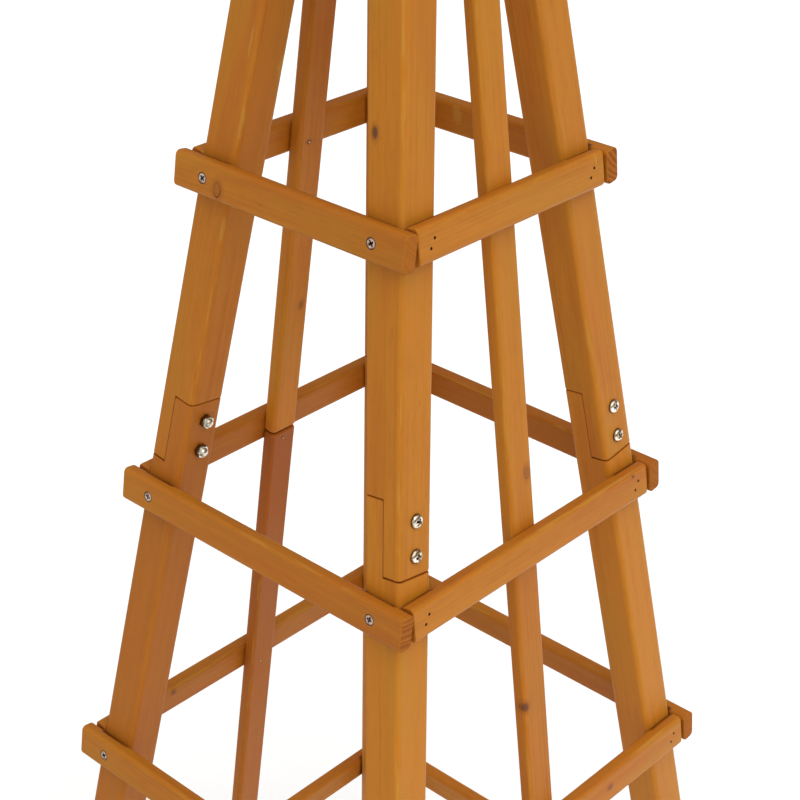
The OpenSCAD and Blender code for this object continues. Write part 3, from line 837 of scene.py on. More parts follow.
def mark_grain(mesh, name, to_grain, drills, seam=None, cover=1.0):
    """Writes a piece of timber's grain coordinates and traits, its sawn ends, its holes and its seam.

    seam is the place across, and the lowest and highest place along, of the cheek of a lap. cover is how
    far from a rail's middle the legs that it lies on begin.
    """
    corners = np.empty(len(mesh.vertices) * 3)
    mesh.vertices.foreach_get("co", corners)
    corners = corners.reshape(-1, 3)
    turn = np.array(to_grain)
    places = corners @ turn[:3, :3].T + turn[:3, 3]
    along = Vector(turn[0, :3]).normalized()
    bores = [(place.inverted(), max(r for r, _ in profile) + NEAR_BORE) for place, profile in drills]
    marks = {"end_grain": [], "hole": [], "seam": []}
    for polygon in mesh.polygons:
        facing = abs(polygon.normal.dot(along))
        marks["end_grain"].append(min(max((facing - END_FROM) / END_RANGE, 0.0), 1.0))
        inside = any((inward @ polygon.center).z > NEAR_BORE and all(
            (inward @ mesh.vertices[i].co).xy.length < widest for i in polygon.vertices)
            for inward, widest in bores)
        marks["hole"].append(float(inside))
        x, y, _ = places[list(polygon.vertices)].mean(axis=0)
        near = seam and abs(y - seam[0]) < NEAR_SEAM and seam[1] - NEAR_SEAM < x < seam[2] + NEAR_SEAM
        marks["seam"].append(1.0 if near else 0.0)
    for label, values in marks.items():
        mesh.attributes.new(label, "FLOAT", "FACE").data.foreach_set("value", values)
    places[:, 0] += NUMBERS[name] * GRAIN_STEP
    mesh.attributes.new("grain", "FLOAT_VECTOR", "POINT").data.foreach_set(
        "vector", places.astype(np.float32).ravel())
    traits = {"tone": 0.0, "drift": 0.0, "heart": NUMBERS[name] * HEART_TURN, "rings": PLAIN_RINGS,
              "cover": cover, **TRAITS.get(name, {})}
    for label, value in traits.items():
        mesh.attributes.new(label, "FLOAT", "POINT").data.foreach_set("value", [value] * len(mesh.vertices))


def show(name, mesh, material, nodes):
    """Puts a finished mesh in the scene in place of its CAD nodes."""
    mesh.materials.clear()
    mesh.materials.append(material)
    piece = in_scene(name, mesh)
    for node in nodes:
        low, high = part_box(node)
        for i in range(3):
            mine = [v.co[i] for v in mesh.vertices]
            if max(abs(min(mine) - low[i]), abs(max(mine) - high[i])) > BOX_SLACK:
                raise RuntimeError(f"{name} doesn't fill the box of {node}: "
                                   f"{min(mine):.4f} to {max(mine):.4f}, not {low[i]:.4f} to {high[i]:.4f}")
    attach(piece, "root")
    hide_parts(*nodes)


# ---- slats ----

# Steps in the rounding of a slat's ends, and in that of the long edges of slats and legs.
EASE_STEPS = 4
EDGE_STEPS = 6


def slat_tree():
    """A slat along X: a rounded oblong section swept along it, with rounded ends."""
    name = "Slat maker"
    if name in bpy.data.node_groups:
        return bpy.data.node_groups[name]
    tree, w, given = maker_tree(name, {"Length": 0.4, "Width": 0.0285, "Thickness": 0.013,
                                       "Edge Radius": 0.004, "End Radius": 0.0013})
    long_half = w.times(given["Length"], 0.5)
    last = 2 * EASE_STEPS + 1
    line = w.made("GeometryNodeCurvePrimitiveLine", {"End": w.xyz(1.0, 0.0, 0.0)})
    line = w.made("GeometryNodeResampleCurve", {"Curve": line, "Count": last + 1})
    index = w.made("GeometryNodeInputIndex")
    step = w.sum("MINIMUM", index, w.minus(float(last), index))
    angle = w.times(step, QUARTER / EASE_STEPS)
    back = w.times(given["End Radius"], w.minus(1.0, w.sum("COSINE", angle)))
    side = w.sum("SIGN", w.minus(index, last / 2))
    line = w.moved(line, w.times(side, w.minus(long_half, back)), 0.0, 0.0)
    section = w.made("GeometryNodeCurvePrimitiveQuadrilateral",
                     {"Width": given["Width"], "Height": given["Thickness"]})
    fillet = w.node("GeometryNodeFilletCurve",
                    {"Curve": section, "Count": EDGE_STEPS - 1, "Radius": given["Edge Radius"]}, mode="POLY")
    solid = w.made("GeometryNodeCurveToMesh", {"Curve": line, "Profile Curve": fillet.outputs[0],
                                               "Fill Caps": True})
    x, y, z = w.position()
    near = w.minus(long_half, w.sum("ABSOLUTE", x))
    left = w.larger(w.minus(given["End Radius"], near), 0.0)
    square = w.minus(w.times(given["End Radius"], given["End Radius"]), w.times(left, left))
    inset = w.minus(given["End Radius"], w.sum("SQRT", w.larger(square, 0.0)))
    narrow = w.minus(1.0, w.sum("DIVIDE", w.times(inset, 2.0), given["Width"]))
    thin = w.minus(1.0, w.sum("DIVIDE", w.times(inset, 2.0), given["Thickness"]))
    solid = w.moved(solid, x, w.times(y, narrow), w.times(z, thin))
    end_maker(w, given, w.made("GeometryNodeMergeByDistance", {"Geometry": solid, "Distance": 0.00001}))
    return tree


def make_slat(context, name, place, span, ease, drills, material, cover=1.0):
    """One slat of the given length, its wide face turned out by place: X along and Y through it."""
    s = context.scene.obelisk_sizes
    mesh = run_tree(slat_tree(), name, bpy.data.meshes.new(name + "_base"), {
        "Length": span, "Width": s.slat_width, "Thickness": s.slat_thick, "Edge Radius": s.slat_round,
        "End Radius": ease, "Material": material})
    # The tree's slat is wide in Y and thin in Z. Here it is stood up: wide in Z and thin in Y.
    stand = place @ Matrix.Translation((0, -s.slat_thick / 2, 0)) @ Matrix.Rotation(QUARTER, 4, "X")
    mesh.transform(stand)
    mesh = worked(name, mesh, drills)
    mark_grain(mesh, name, stand.inverted(), drills, cover=cover)
    show(name, mesh, material, [name])


def screw_hole(fixings):
    """Drill for a countersunk screw that leaves the far side of a slat."""
    wide, thin = fixings.screw_head / 2 + HEAD_PLAY, fixings.screw_diameter / 2 + SCREW_PLAY
    return [(wide, -OVERSHOOT), (wide, 0.0), (thin, fixings.screw_sink), (thin, THROUGH_SLAT)]


def brad_hole(fixings, start=-OVERSHOOT, stop=THROUGH_SLAT, wider=BRAD_PLAY):
    """Drill for a brad that leaves the far side of a slat."""
    radius = fixings.brad_diameter / 2 + wider
    return [(radius, start), (radius, stop)]


class OBELISK_OT_make_rails(bpy.types.Operator):
    """Make the twenty rails: long ones at the front and back, short ones at the sides"""

    bl_idname = "obelisk.make_rails"
    bl_label = "Make rails"

    def execute(self, context):
        lay, s, f = layout_of(context)
        material = wood(context, "Stained rail slats", s.slat_width / 2, s.slat_thick / 2, Depth=0.12,
                        Brightness=0.97, Contact=1.0)
        for ring, z in enumerate(s.rail_heights):
            for end in (FRONT, BACK):
                name = f"rail_{END_NAMES[end]}_{ring + 1}"
                span = 2 * (lay.half_x(z - s.slat_width / 2) + s.slat_thick - s.long_setback)
                drills = [(place, screw_hole(f)) for side in (LEFT, RIGHT)
                          for place in lay.rail_screws(side, end, ring)]
                make_slat(context, name, lay.face(TURNS[END_NAMES[end]], z), span, s.rail_ease, drills,
                          material, lay.half_x(z) - s.leg_side)
            for side in (LEFT, RIGHT):
                name = f"rail_{SIDE_NAMES[side]}_{ring + 1}"
                span = 2 * (lay.half_y(z + s.slat_width / 2) - s.short_gap)
                drills = [(place, brad_hole(f)) for end in (FRONT, BACK)
                          for place in lay.rail_brads(side, end, ring)]
                make_slat(context, name, lay.face(TURNS[SIDE_NAMES[side]], z), span, s.rail_ease, drills,
                          material, lay.half_y(z) - s.leg_side)
        return {"FINISHED"}


class OBELISK_OT_make_uprights(bpy.types.Operator):
    """Make the two uprights behind the side rails, each in two halves"""

    bl_idname = "obelisk.make_uprights"
    bl_label = "Make uprights"

    def execute(self, context):
        lay, s, f = layout_of(context)
        material = wood(context, "Stained uprights", s.slat_width / 2, s.slat_thick / 2)
        joint = s.rail_heights[JOINT_RING] - s.joint_drop
        halves = (("lower", s.rail_heights[0] - s.slat_width / 2, joint - s.joint_gap / 2, LOWER_RINGS),
                  ("upper", joint + s.joint_gap / 2, s.rail_heights[-1] + s.slat_width / 2, UPPER_RINGS))
        for side in (LEFT, RIGHT):
            for half, low, high, rings in halves:
                name = f"upright_{SIDE_NAMES[side]}_{half}"
                span = (high - low) / math.cos(lay.lean_x)
                place = (lay.face(TURNS[SIDE_NAMES[side]], low)
                         @ Matrix.Translation((0, s.slat_thick, span / 2))
                         @ Matrix.Rotation(QUARTER, 4, "Y"))
                drills = [(spot, brad_hole(f, wider=UPRIGHT_BRAD_PLAY)) for ring in rings
                          for spot in lay.upright_brads(side, ring)]
                make_slat(context, name, place, span, s.upright_ease, drills, material)
        return {"FINISHED"}


# ---- legs ----

# How much of the tongue's easing each edge of a leg gets: at the sawn end, at the shoulder, at the
# end of the tongue and along its cheek.
SAWN_SHARE, SHOULDER_SHARE, TONGUE_SHARE, CHEEK_SHARE = 0.4, 0.3, 1.0, 0.28


def leg_outline(lay):
    """The leg's section, anticlockwise, and the two points where the cheek of a lap crosses it."""
    s = lay.sizes
    near, far, skew = s.leg_round, s.leg_side - s.leg_round, lay.skew
    outer = arc(lay.in_leg(near, near), near, 0.0, QUARTER - skew, EDGE_STEPS)
    side_in = arc(lay.in_leg(far, near), near, QUARTER - skew, 2 * QUARTER, EDGE_STEPS)
    inner = arc(lay.in_leg(far, far), near, 2 * QUARTER, 3 * QUARTER - skew, EDGE_STEPS)
    side_out = arc(lay.in_leg(near, far), near, 3 * QUARTER - skew, 4 * QUARTER, EDGE_STEPS)
    first = lay.in_leg(s.outer_tongue, 0)
    second = lay.in_leg(s.outer_tongue, s.leg_side)
    outline = outer + [first] + side_in + inner + [second] + side_out
    return outline, len(outer), len(outer) + 1 + len(side_in) + len(inner)


def leg_mesh(lay, place, upper):
    """One half of a leg in its own frame, from its sawn end to the end of its lap."""
    s = lay.sizes
    outline, first, second = leg_outline(lay)
    count = len(outline)
    inner_part = list(range(first, second + 1))
    outer_part = list(range(second, count)) + list(range(0, first + 1))
    shoulder, tip = (lay.lap_high, lay.lap_low + s.shoulder_gap) if upper else (
        lay.lap_low, lay.lap_high - s.shoulder_gap)
    kept, gone = (outer_part, inner_part) if upper else (inner_part, outer_part)
    level = s.leg_top if upper else 0.0
    row = place[2]
    bm = bmesh.new()
    # The far end is sawn level, so each long line stops where it meets that height.
    end = [bm.verts.new((p.x, p.y, (level - row[3] - row[0] * p.x - row[1] * p.y) / row[2]))
           for p in outline]
    body = [bm.verts.new((p.x, p.y, shoulder)) for p in outline]
    tongue = [bm.verts.new((outline[i].x, outline[i].y, tip)) for i in kept]
    band(bm, end, body)
    bm.faces.new(end)
    bm.faces.new([body[i] for i in gone])
    for k in range(len(kept) - 1):
        bm.faces.new((body[kept[k]], body[kept[k + 1]], tongue[k + 1], tongue[k]))
    bm.faces.new((body[kept[-1]], body[kept[0]], tongue[0], tongue[-1]))
    bm.faces.new(tongue)
    bmesh.ops.recalc_face_normals(bm, faces=bm.faces)
    # The tongue's end is rounded over; its cheek, the shoulder and the sawn end are only eased.
    weights = bm.edges.layers.float.new("bevel_weight_edge")

    def mark(ring, weight):
        for here, there in zip(ring, ring[1:] + ring[:1]):
            edge = bm.edges.get((here, there))
            if edge:
                edge[weights] = max(edge[weights], weight)

    mark(end, SAWN_SHARE)
    mark([body[i] for i in gone], SHOULDER_SHARE)
    mark(tongue, TONGUE_SHARE)
    for k in (0, -1):
        mark([body[kept[k]], tongue[k]], CHEEK_SHARE)
    return as_mesh(bm, "leg")


class OBELISK_OT_make_legs(bpy.types.Operator):
    """Make the four leaning legs, each in two halves joined by a bolted lap"""

    bl_idname = "obelisk.make_legs"
    bl_label = "Make legs"

    def execute(self, context):
        lay, s, f = layout_of(context)
        half = s.leg_side / 2
        material = wood(context, "Stained legs", half, half)
        wide, thin = f.bolt_diameter / 2 + BOLT_PLAY, f.screw_diameter / 2 + SCREW_PLAY
        start = s.slat_thick - START_IN_RAIL
        bolt_hole = [(wide, -OVERSHOOT), (wide, s.leg_side + OVERSHOOT)]
        screw_bore = [(thin, start), (thin, f.rail_screw_length + OVERSHOOT)]
        brad_bore = brad_hole(f, start, f.brad_length + f.brad_sink + OVERSHOOT)
        # From the leg's frame to the grain: along the leg, then out from its middle line.
        sine, cosine = math.sin(lay.skew), math.cos(lay.skew)
        middle = Matrix(((0, 0, 1, 0), (1, 0, 0, half), (sine, cosine, 0, half), (0, 0, 0, 1)))
        for side, end in CORNERS:
            place = lay.leg(side, end)
            for half_name, rings in (("lower", LOWER_RINGS), ("upper", UPPER_RINGS)):
                name = f"leg_{END_NAMES[end]}_{SIDE_NAMES[side]}_{half_name}"
                mesh = leg_mesh(lay, place, half_name == "upper")
                mesh.transform(place)
                if place.determinant() < 0:
                    mesh.flip_normals()
                drills = [(spot, bolt_hole) for spot in lay.lap_bolts(side, end)]
                for ring in rings:
                    drills += [(spot, screw_bore) for spot in lay.rail_screws(side, end, ring)]
                    drills += [(spot, brad_bore) for spot in lay.rail_brads(side, end, ring)]
                mesh = worked(name, mesh, drills, bevel=s.tongue_ease)
                mark_grain(mesh, name, middle @ place.inverted(), drills,
                           (half - s.outer_tongue, lay.lap_low, lay.lap_high))
                show(name, mesh, material, [name])
        return {"FINISHED"}


# ---- cap and finial ----

class OBELISK_OT_make_cap(bpy.types.Operator):
    """Make the square cap with its moulded upper edge"""

    bl_idname = "obelisk.make_cap"
    bl_label = "Make cap"

    def execute(self, context):
        lay, s, f = layout_of(context)
        ease, steps, curve_steps = 0.0008, 8, 5
        levels = [(0.0, ease), (ease / 4, ease * 0.3), (ease, 0.0), (s.cap_thick - s.cap_chamfer, 0.0)]
        for i in range(1, curve_steps + 1):
            turn = QUARTER * i / curve_steps
            levels.append((s.cap_thick - s.cap_chamfer * (1 - math.sin(turn)),
                           s.cap_chamfer * (1 - math.cos(turn))))
        bm = bmesh.new()
        rings = []
        for height, inset in levels:
            core = s.cap_side / 2 - s.cap_round
            outline = []
            for k, (i, j) in enumerate(((1, 1), (-1, 1), (-1, -1), (1, -1))):
                outline += arc((i * core, j * core), s.cap_round - inset, k * QUARTER, (k + 1) * QUARTER,
                               steps)
            rings.append([bm.verts.new((p.x, p.y, s.leg_top + height)) for p in outline])
        for low, high in zip(rings, rings[1:]):
            band(bm, low, high)
        bm.faces.new(rings[0])
        bm.faces.new(rings[-1])
        bmesh.ops.recalc_face_normals(bm, faces=bm.faces)
        wide, thin = f.screw_head / 2 + SCREW_PLAY, f.screw_diameter / 2 + SCREW_PLAY
        through = (thin, s.cap_thick + OVERSHOOT)
        drills = [(place, [*screw_hole(f)[:3], through]) for place in lay.cap_screws()]
        from_below = [(wide, -OVERSHOOT), (wide, 0.0), (thin, f.screw_sink), through]
        drills.append((Matrix.Translation((0, 0, s.leg_top)), from_below))
        mesh = worked("cap", as_mesh(bm, "cap"), drills)
        centre = Matrix.Translation((0, 0, -s.leg_top - s.cap_thick / 2))
        mark_grain(mesh, "cap", centre, drills)
        material = wood(context, "Stained cap board", s.cap_side / 2, s.cap_thick / 2)
        show("cap", mesh, material, ["cap"])
        return {"FINISHED"}


class OBELISK_OT_make_finial(bpy.types.Operator):
    """Make the turned finial: foot, hollow neck, bead and ball"""

    bl_idname = "obelisk.make_finial"
    bl_label = "Make finial"

    def execute(self, context):
        _, s, f = layout_of(context)
        base = s.leg_top + s.cap_thick
        neck_top = s.finial_foot_height + s.neck_height
        lip, ease = 0.003, 0.0012
        cove = s.finial_foot - s.neck_radius - lip
        # The arcs from the foot up: centre, radius, the angles in degrees where it starts and stops,
        # and its steps.
        arcs = (((s.finial_foot - ease / 2, ease / 2), ease / 2, -90, 0, 3),
                ((s.finial_foot - ease, s.finial_foot_height - ease), ease, 0, 90, 4),
                ((s.neck_radius + cove, s.finial_foot_height + cove), cove, 270, 188, 10),
                ((s.neck_radius, neck_top), s.bead_radius, -68, 45, 10),
                ((0, neck_top + s.ball_radius), s.ball_radius, -64, 90, 34))
        profile = [(0, 0)]
        for centre, radius, start, stop, steps in arcs:
            profile += [tuple(p) for p in arc(centre, radius, math.radians(start), math.radians(stop), steps)]
        profile[-1] = (0, profile[-1][1])
        mesh = turned(profile, steps=64)
        mesh.transform(Matrix.Translation((0, 0, base)))
        thin = f.screw_diameter / 2 + SCREW_PLAY
        drills = [(Matrix.Translation((0, 0, s.leg_top)), [(thin, s.cap_thick - OVERSHOOT),
                                                          (thin, f.finial_screw_length + OVERSHOOT)])]
        mesh = worked("finial", mesh, drills)
        centre = Matrix.Translation((0, 0, -base - s.ball_radius))
        upright = Matrix(((0, 0, 1, 0), (1, 0, 0, 0), (0, 1, 0, 0), (0, 0, 0, 1)))
        mark_grain(mesh, "finial", upright @ centre, drills)
        # A turned piece has no long edges that could wear.
        no_edge = 1.0
        material = wood(context, "Stained turned finial", no_edge, no_edge)
        show("finial", mesh, material, ["finial"])
        return {"FINISHED"}


# ---- fixings ----

# Each head stops at its own angle: that of the first, and how much further each next one is turned.
FIRST_TURN, NEXT_TURN = 20, 37
# The power that squares the shoulder of a bolt's dome a little.
SHOULDER = 0.72
# How far the middle of a nut's dome lies below the top of its hexagon.
DOME_SINK = 0.0006
# How long and wide a wood screw's cross is, compared with a bolt's.
SCREW_CROSS = 0.8
# How far a bolt's shank reaches into its head, and how deep in its cone a wood screw's begins.
BOLT_OVERLAP, SCREW_START = 0.0005, 0.001
# Radius of the blunt point of a wood screw and of a brad.
SCREW_POINT, BRAD_POINT = 0.0003, 0.0002
# The ball that rounds a nut's corners: its radius as a share of the flats, and how high its middle
# lies, as a share of the hexagon.
NUT_BALL, NUT_BALL_HEIGHT = 0.66, 0.42


def spread(places):
    """A mesh of loose points, one for each fixing, with the way each is turned as an attribute."""
    mesh = bpy.data.meshes.new("fixings")
    mesh.from_pydata([place.translation for place in places], [], [])
    turns = []
    for i, place in enumerate(places):
        down = (place.to_3x3() @ Vector((0, 0, 1))).normalized()
        across = (place.to_3x3() @ Vector((1, 0, 0))).normalized()
        square = Matrix((across, down.cross(across), down)).transposed()
        square = square @ Matrix.Rotation(math.radians(FIRST_TURN + NEXT_TURN * i), 3, "Z")
        turns += list(square.to_euler())
    mesh.attributes.new("turn", "FLOAT_VECTOR", "POINT").data.foreach_set("vector", turns)
    return mesh


def fixing_tree(name, sizes, build):
    """A tree that builds one fixing and sets it on every point, turned by the point's attribute."""
    if name in bpy.data.node_groups:
        return bpy.data.node_groups[name]
    tree, w, given = maker_tree(name, sizes)
    fixing, grime = build(w, given)
    fixing = w.made("GeometryNodeStoreNamedAttribute", {"Geometry": fixing, "Name": "grime", "Value": grime},
                    data_type="FLOAT", domain="FACE")
    turn = w.made("GeometryNodeInputNamedAttribute", {"Name": "turn"}, data_type="FLOAT_VECTOR")
    turn = w.made("FunctionNodeEulerToRotation", {0: turn})
    placed = w.made("GeometryNodeInstanceOnPoints", {"Points": given["Geometry"], "Instance": fixing,
                                                     "Rotation": turn})
    end_maker(w, given, placed)
    return tree


def raised(w, geometry, height, turn=0.0):
    """Geometry turned about Z and moved along it."""
    return w.made("GeometryNodeTransform", {"Geometry": geometry, "Translation": w.xyz(0.0, 0.0, height),
                                            "Rotation": (0.0, 0.0, turn)})


def rod(w, radius, start, stop, tip=None, steps=24, fills=1):
    """A rod from start to stop along Z, coming to the radius tip at its far end if that is given."""
    long = w.minus(stop, start)
    cone = w.made("GeometryNodeMeshCone", {"Vertices": steps, "Side Segments": 1, "Fill Segments": fills,
                                           "Radius Top": radius if tip is None else tip,
                                           "Radius Bottom": radius, "Depth": long})
    return raised(w, cone, start)


def ball_of(w, radius, segments, rings):
    """A ball round the origin."""
    return w.made("GeometryNodeMeshUVSphere", {"Segments": segments, "Rings": rings, "Radius": radius})


def merged(w, operation, *parts):
    """Parts joined by a Boolean: DIFFERENCE takes the rest from the first."""
    node = w.node("GeometryNodeMeshBoolean", operation=operation, solver="EXACT")
    first, rest = (parts[0], parts[1:]) if operation == "DIFFERENCE" else (None, parts)
    if first is not None:
        w.feed(node.inputs["Mesh 1"], first)
    for part in rest:
        w.feed(node.inputs["Mesh 2"], part)
    return node.outputs[0]


def from_axis(w):
    """How far the place being worked on is from the Z axis, and its height."""
    x, y, z = w.position()
    return w.vector("LENGTH", w.xyz(x, y, 0.0)), z


def cross_bit(w, given, top):
    """The tapered cross that is pressed into a head whose top is at that height."""
    long, wide, deep = (given[k] for k in ("Cross Length", "Cross Width", "Cross Depth"))
    arms = []
    for turn in (0.0, QUARTER):
        cube = w.made("GeometryNodeMeshCube", {"Size": w.xyz(long, wide, w.times(deep, 2.0))})
        x, y, z = w.position()
        narrow = w.times_plus(w.sum("DIVIDE", z, deep), -0.3, 1.0)
        arms.append(raised(w, w.moved(cube, w.times(x, narrow), y, z), top, turn))
    return merged(w, "UNION", *arms)


def build_bolt(w, given):
    """A domed head at negative Z and a shank along Z, which points into the wood."""
    ball = ball_of(w, 1.0, 32, 20)
    x, y, z = w.position()
    half = w.times(given["Head"], 0.5)
    below = w.larger(w.times(z, -1.0), 0.0)
    top = w.times(given["Head Height"], -1.0)
    dome = w.times(w.sum("POWER", below, SHOULDER), top)
    head = w.moved(ball, w.times(x, half), w.times(y, half), dome)
    head = w.made("GeometryNodeMergeByDistance", {"Geometry": head, "Distance": 0.000001})
    shank = rod(w, w.times(given["Diameter"], 0.5), -BOLT_OVERLAP, given["Length"])
    whole = merged(w, "UNION", head, shank)
    bolt = merged(w, "DIFFERENCE", whole, cross_bit(w, given, top))
    # Painted shade: dark in the recess and round the foot of the head.
    out, z = from_axis(w)
    share_out = w.sum("MINIMUM", w.sum("DIVIDE", out, half), 0.999)
    round_part = w.minus(1.0, w.times(share_out, share_out))
    surface = w.times(w.sum("POWER", round_part, SHOULDER / 2), top)
    recess = w.times(w.ease(w.minus(z, surface), 0.0001, 0.0006), w.ease(share_out, 0.5, 0.6, 1.0, 0.0))
    foot = w.ease(z, -0.0017, -0.0003, 0.0, 0.9)
    return bolt, w.larger(w.times(recess, RECESS_DARK), foot)


def build_nut(w, given):
    """A hexagon along Z with rounded corners and a closed dome on its far end."""
    radius = w.times(given["Flats"], 0.5 / math.cos(math.radians(30)))
    hexagon = rod(w, radius, 0.0, given["Height"], steps=6)
    ball = ball_of(w, w.times(given["Flats"], NUT_BALL), 32, 24)
    hexagon = merged(w, "INTERSECT", hexagon, raised(w, ball, w.times(given["Height"], NUT_BALL_HEIGHT)))
    dome = raised(w, ball_of(w, given["Dome"], 24, 16), w.minus(given["Height"], DOME_SINK))
    # Painted shade: dark on the flats and in the corner between hexagon and dome.
    out, z = from_axis(w)
    flats = w.ease(z, 0.0, w.times(given["Height"], 0.98), 0.65, 0.10)
    corner = w.times(w.ease(out, 0.0038, 0.0046), w.ease(z, 0.0046, 0.0066, 0.6, 0.0))
    flats = w.times(flats, w.ease(z, 0.0048, 0.0052, 1.0, 0.0))
    return merged(w, "UNION", hexagon, dome), w.larger(flats, corner)


def build_screw(w, given):
    """A countersunk screw along Z, its flat head at Z = 0."""
    thin = w.times(given["Diameter"], 0.5)
    head = rod(w, w.times(given["Head"], 0.5), 0.0, given["Cone"], tip=thin, steps=32, fills=8)
    point = w.minus(given["Length"], given["Diameter"])
    shank = rod(w, thin, SCREW_START, point, steps=32)
    tip = rod(w, thin, point, given["Length"], tip=SCREW_POINT, steps=32)
    whole = merged(w, "UNION", head, shank, tip)
    # Painted shade: dark in the cross recess and round the rim of the head.
    out, z = from_axis(w)
    recess = w.times(w.ease(z, 0.0001, 0.0005, 0.0, RECESS_DARK), w.ease(out, 0.0032, 0.0036, 1.0, 0.0))
    rim = w.ease(out, 0.0031, 0.0040, 0.0, 0.85)
    return merged(w, "DIFFERENCE", whole, cross_bit(w, given, 0.0)), w.larger(recess, rim)


def build_brad(w, given):
    """A plain brad along Z with a point at its far end."""
    thin = w.times(given["Diameter"], 0.5)
    point = w.minus(given["Length"], given["Diameter"])
    shank = rod(w, thin, given["Sink"], point, steps=16)
    tip = rod(w, thin, point, given["Length"], tip=BRAD_POINT, steps=16)
    # Darker further along the shank, over the first millimetre past its top.
    depth = w.minus(from_axis(w)[1], given["Sink"])
    return merged(w, "UNION", shank, tip), w.ease(depth, 0.0, 0.001, 0.0, 0.6)


def make_fixings(name, tree, places, values, material):
    """All of one kind of fixing as one mesh, in place of its CAD node."""
    mesh = run_tree(tree, name, spread(places), dict(values, Material=material))
    if "turn" in mesh.attributes:
        mesh.attributes.remove(mesh.attributes["turn"])
    mesh = worked(name, mesh, [])
    for polygon in mesh.polygons:
        polygon.use_smooth = True
    show(name, mesh, material, [name])


def crosses(fixings, scale=1.0):
    """The sizes of a cross recess, by the names of a tree's inputs."""
    return {"Cross Length": fixings.cross_length * scale, "Cross Width": fixings.cross_width * scale,
            "Cross Depth": fixings.cross_depth}


class OBELISK_OT_make_bolts(bpy.types.Operator):
    """Make the eight bolts of the lap joints and their domed nuts"""

    bl_idname = "obelisk.make_bolts"
    bl_label = "Make lap bolts and nuts"

    def execute(self, context):
        lay, s, f = layout_of(context)
        places = [place for corner in CORNERS for place in lay.lap_bolts(*corner)]
        sizes = {"Head": f.bolt_head, "Head Height": f.bolt_head_height, "Diameter": f.bolt_diameter,
                 "Length": s.leg_side + f.nut_height, **crosses(f)}
        make_fixings("lap_bolts", fixing_tree("Bolt maker", sizes, build_bolt), places, sizes,
                     metal(context, "Bright zinc bolts", "zinc", 0.28, (0.60, 0.48, 0.30)))
        inner = [place @ Matrix.Translation((0, 0, s.leg_side)) for place in places]
        sizes = {"Flats": f.nut_flats, "Height": f.nut_height, "Dome": f.nut_dome}
        make_fixings("lap_nuts", fixing_tree("Nut maker", sizes, build_nut), inner, sizes,
                     metal(context, "Yellowed zinc nuts", "nut_zinc", 0.28, (0.65, 0.60, 0.50)))
        return {"FINISHED"}


class OBELISK_OT_make_screws(bpy.types.Operator):
    """Make the countersunk screws of the long rails, the cap and the finial"""

    bl_idname = "obelisk.make_screws"
    bl_label = "Make wood screws"

    def execute(self, context):
        lay, s, f = layout_of(context)
        steel = metal(context, "Coppery screws", "screw_steel", 0.34, (0.50, 0.40, 0.34))
        sizes = {"Head": f.screw_head, "Cone": f.screw_sink, "Diameter": f.screw_diameter,
                 **crosses(f, SCREW_CROSS)}
        tree = fixing_tree("Screw maker", dict(sizes, Length=f.rail_screw_length), build_screw)
        rails = [place for corner in CORNERS for ring in RINGS
                 for place in lay.rail_screws(*corner, ring)]
        for name, places, long in (("rail_screws", rails, f.rail_screw_length),
                                   ("cap_screws", lay.cap_screws(), f.cap_screw_length),
                                   ("finial_screw", [Matrix.Translation((0, 0, s.leg_top))],
                                    f.finial_screw_length)):
            make_fixings(name, tree, places, dict(sizes, Length=long), steel)
        return {"FINISHED"}


class OBELISK_OT_make_brads(bpy.types.Operator):
    """Make the brads of the short rails and of the uprights"""

    bl_idname = "obelisk.make_brads"
    bl_label = "Make brads"

    def execute(self, context):
        lay, _, f = layout_of(context)
        dark = metal(context, "Dark brads", "brad_steel", 0.5, (0.6, 0.6, 0.6))
        # Painted highlight: the upright brads' bright colour.
        bright = metal(context, "Bright brads", "brad_highlight", 0.6, (0.9, 0.9, 0.9))
        sizes = {"Diameter": f.brad_diameter, "Sink": 0.0, "Length": f.brad_length}
        tree = fixing_tree("Brad maker", sizes, build_brad)
        rails = [place for corner in CORNERS for ring in RINGS
                 for place in lay.rail_brads(*corner, ring)]
        punched = dict(sizes, Sink=f.brad_sink, Length=f.brad_length + f.brad_sink)
        make_fixings("rail_brads", tree, rails, punched, dark)
        uprights = [place for side in (LEFT, RIGHT) for ring in RINGS
                    for place in lay.upright_brads(side, ring)]
        make_fixings("upright_brads", tree, uprights, dict(sizes, Length=f.upright_brad_length), bright)
        return {"FINISHED"}


# ---- stage ----

# How far the floor reaches each way, in metres.
FLOOR_REACH = 14
# Where the key light comes from, and how wide it is in degrees.
KEY_FROM, KEY_SPREAD = (0.62, -0.22, 1.0), 55
# The camera's sensor width in millimetres, and the nearest and farthest that it sees in metres.
SENSOR_WIDTH, NEAREST, FARTHEST = 36.0, 0.05, 60.0
# Colours of the floor as seen, of the far part of its reflection, and of the room that metal reflects.
WHITE, COOL_WHITE = (1.0, 1.0, 1.0, 1.0), (0.98, 1.0, 1.05, 1.0)
WALLS, WINDOW_LIGHT = (0.26, 0.20, 0.15, 1.0), (1.4, 1.4, 1.4, 1.0)
# How strongly the floor shines by itself so that it looks white. Then how bright it is in reflections
# in front of the obelisk, how much brighter behind it, and how far from the middle that change ends.
FLOOR_LIFT, MIRRORED_FRONT, MIRRORED_MORE, MIRRORED_OVER = 0.30, 0.68, 1.42, 0.8
# Windows that show in the metal: the direction they lie in, and the angles at which they fade out.
WINDOWS = (((0.9, -0.9, 0.9), 14, 26), ((0.55, 0.5, 0.8), 10, 18), ((0.2, -1.0, 0.35), 10, 20),
           ((-0.3, -0.2, 1.0), 12, 30))


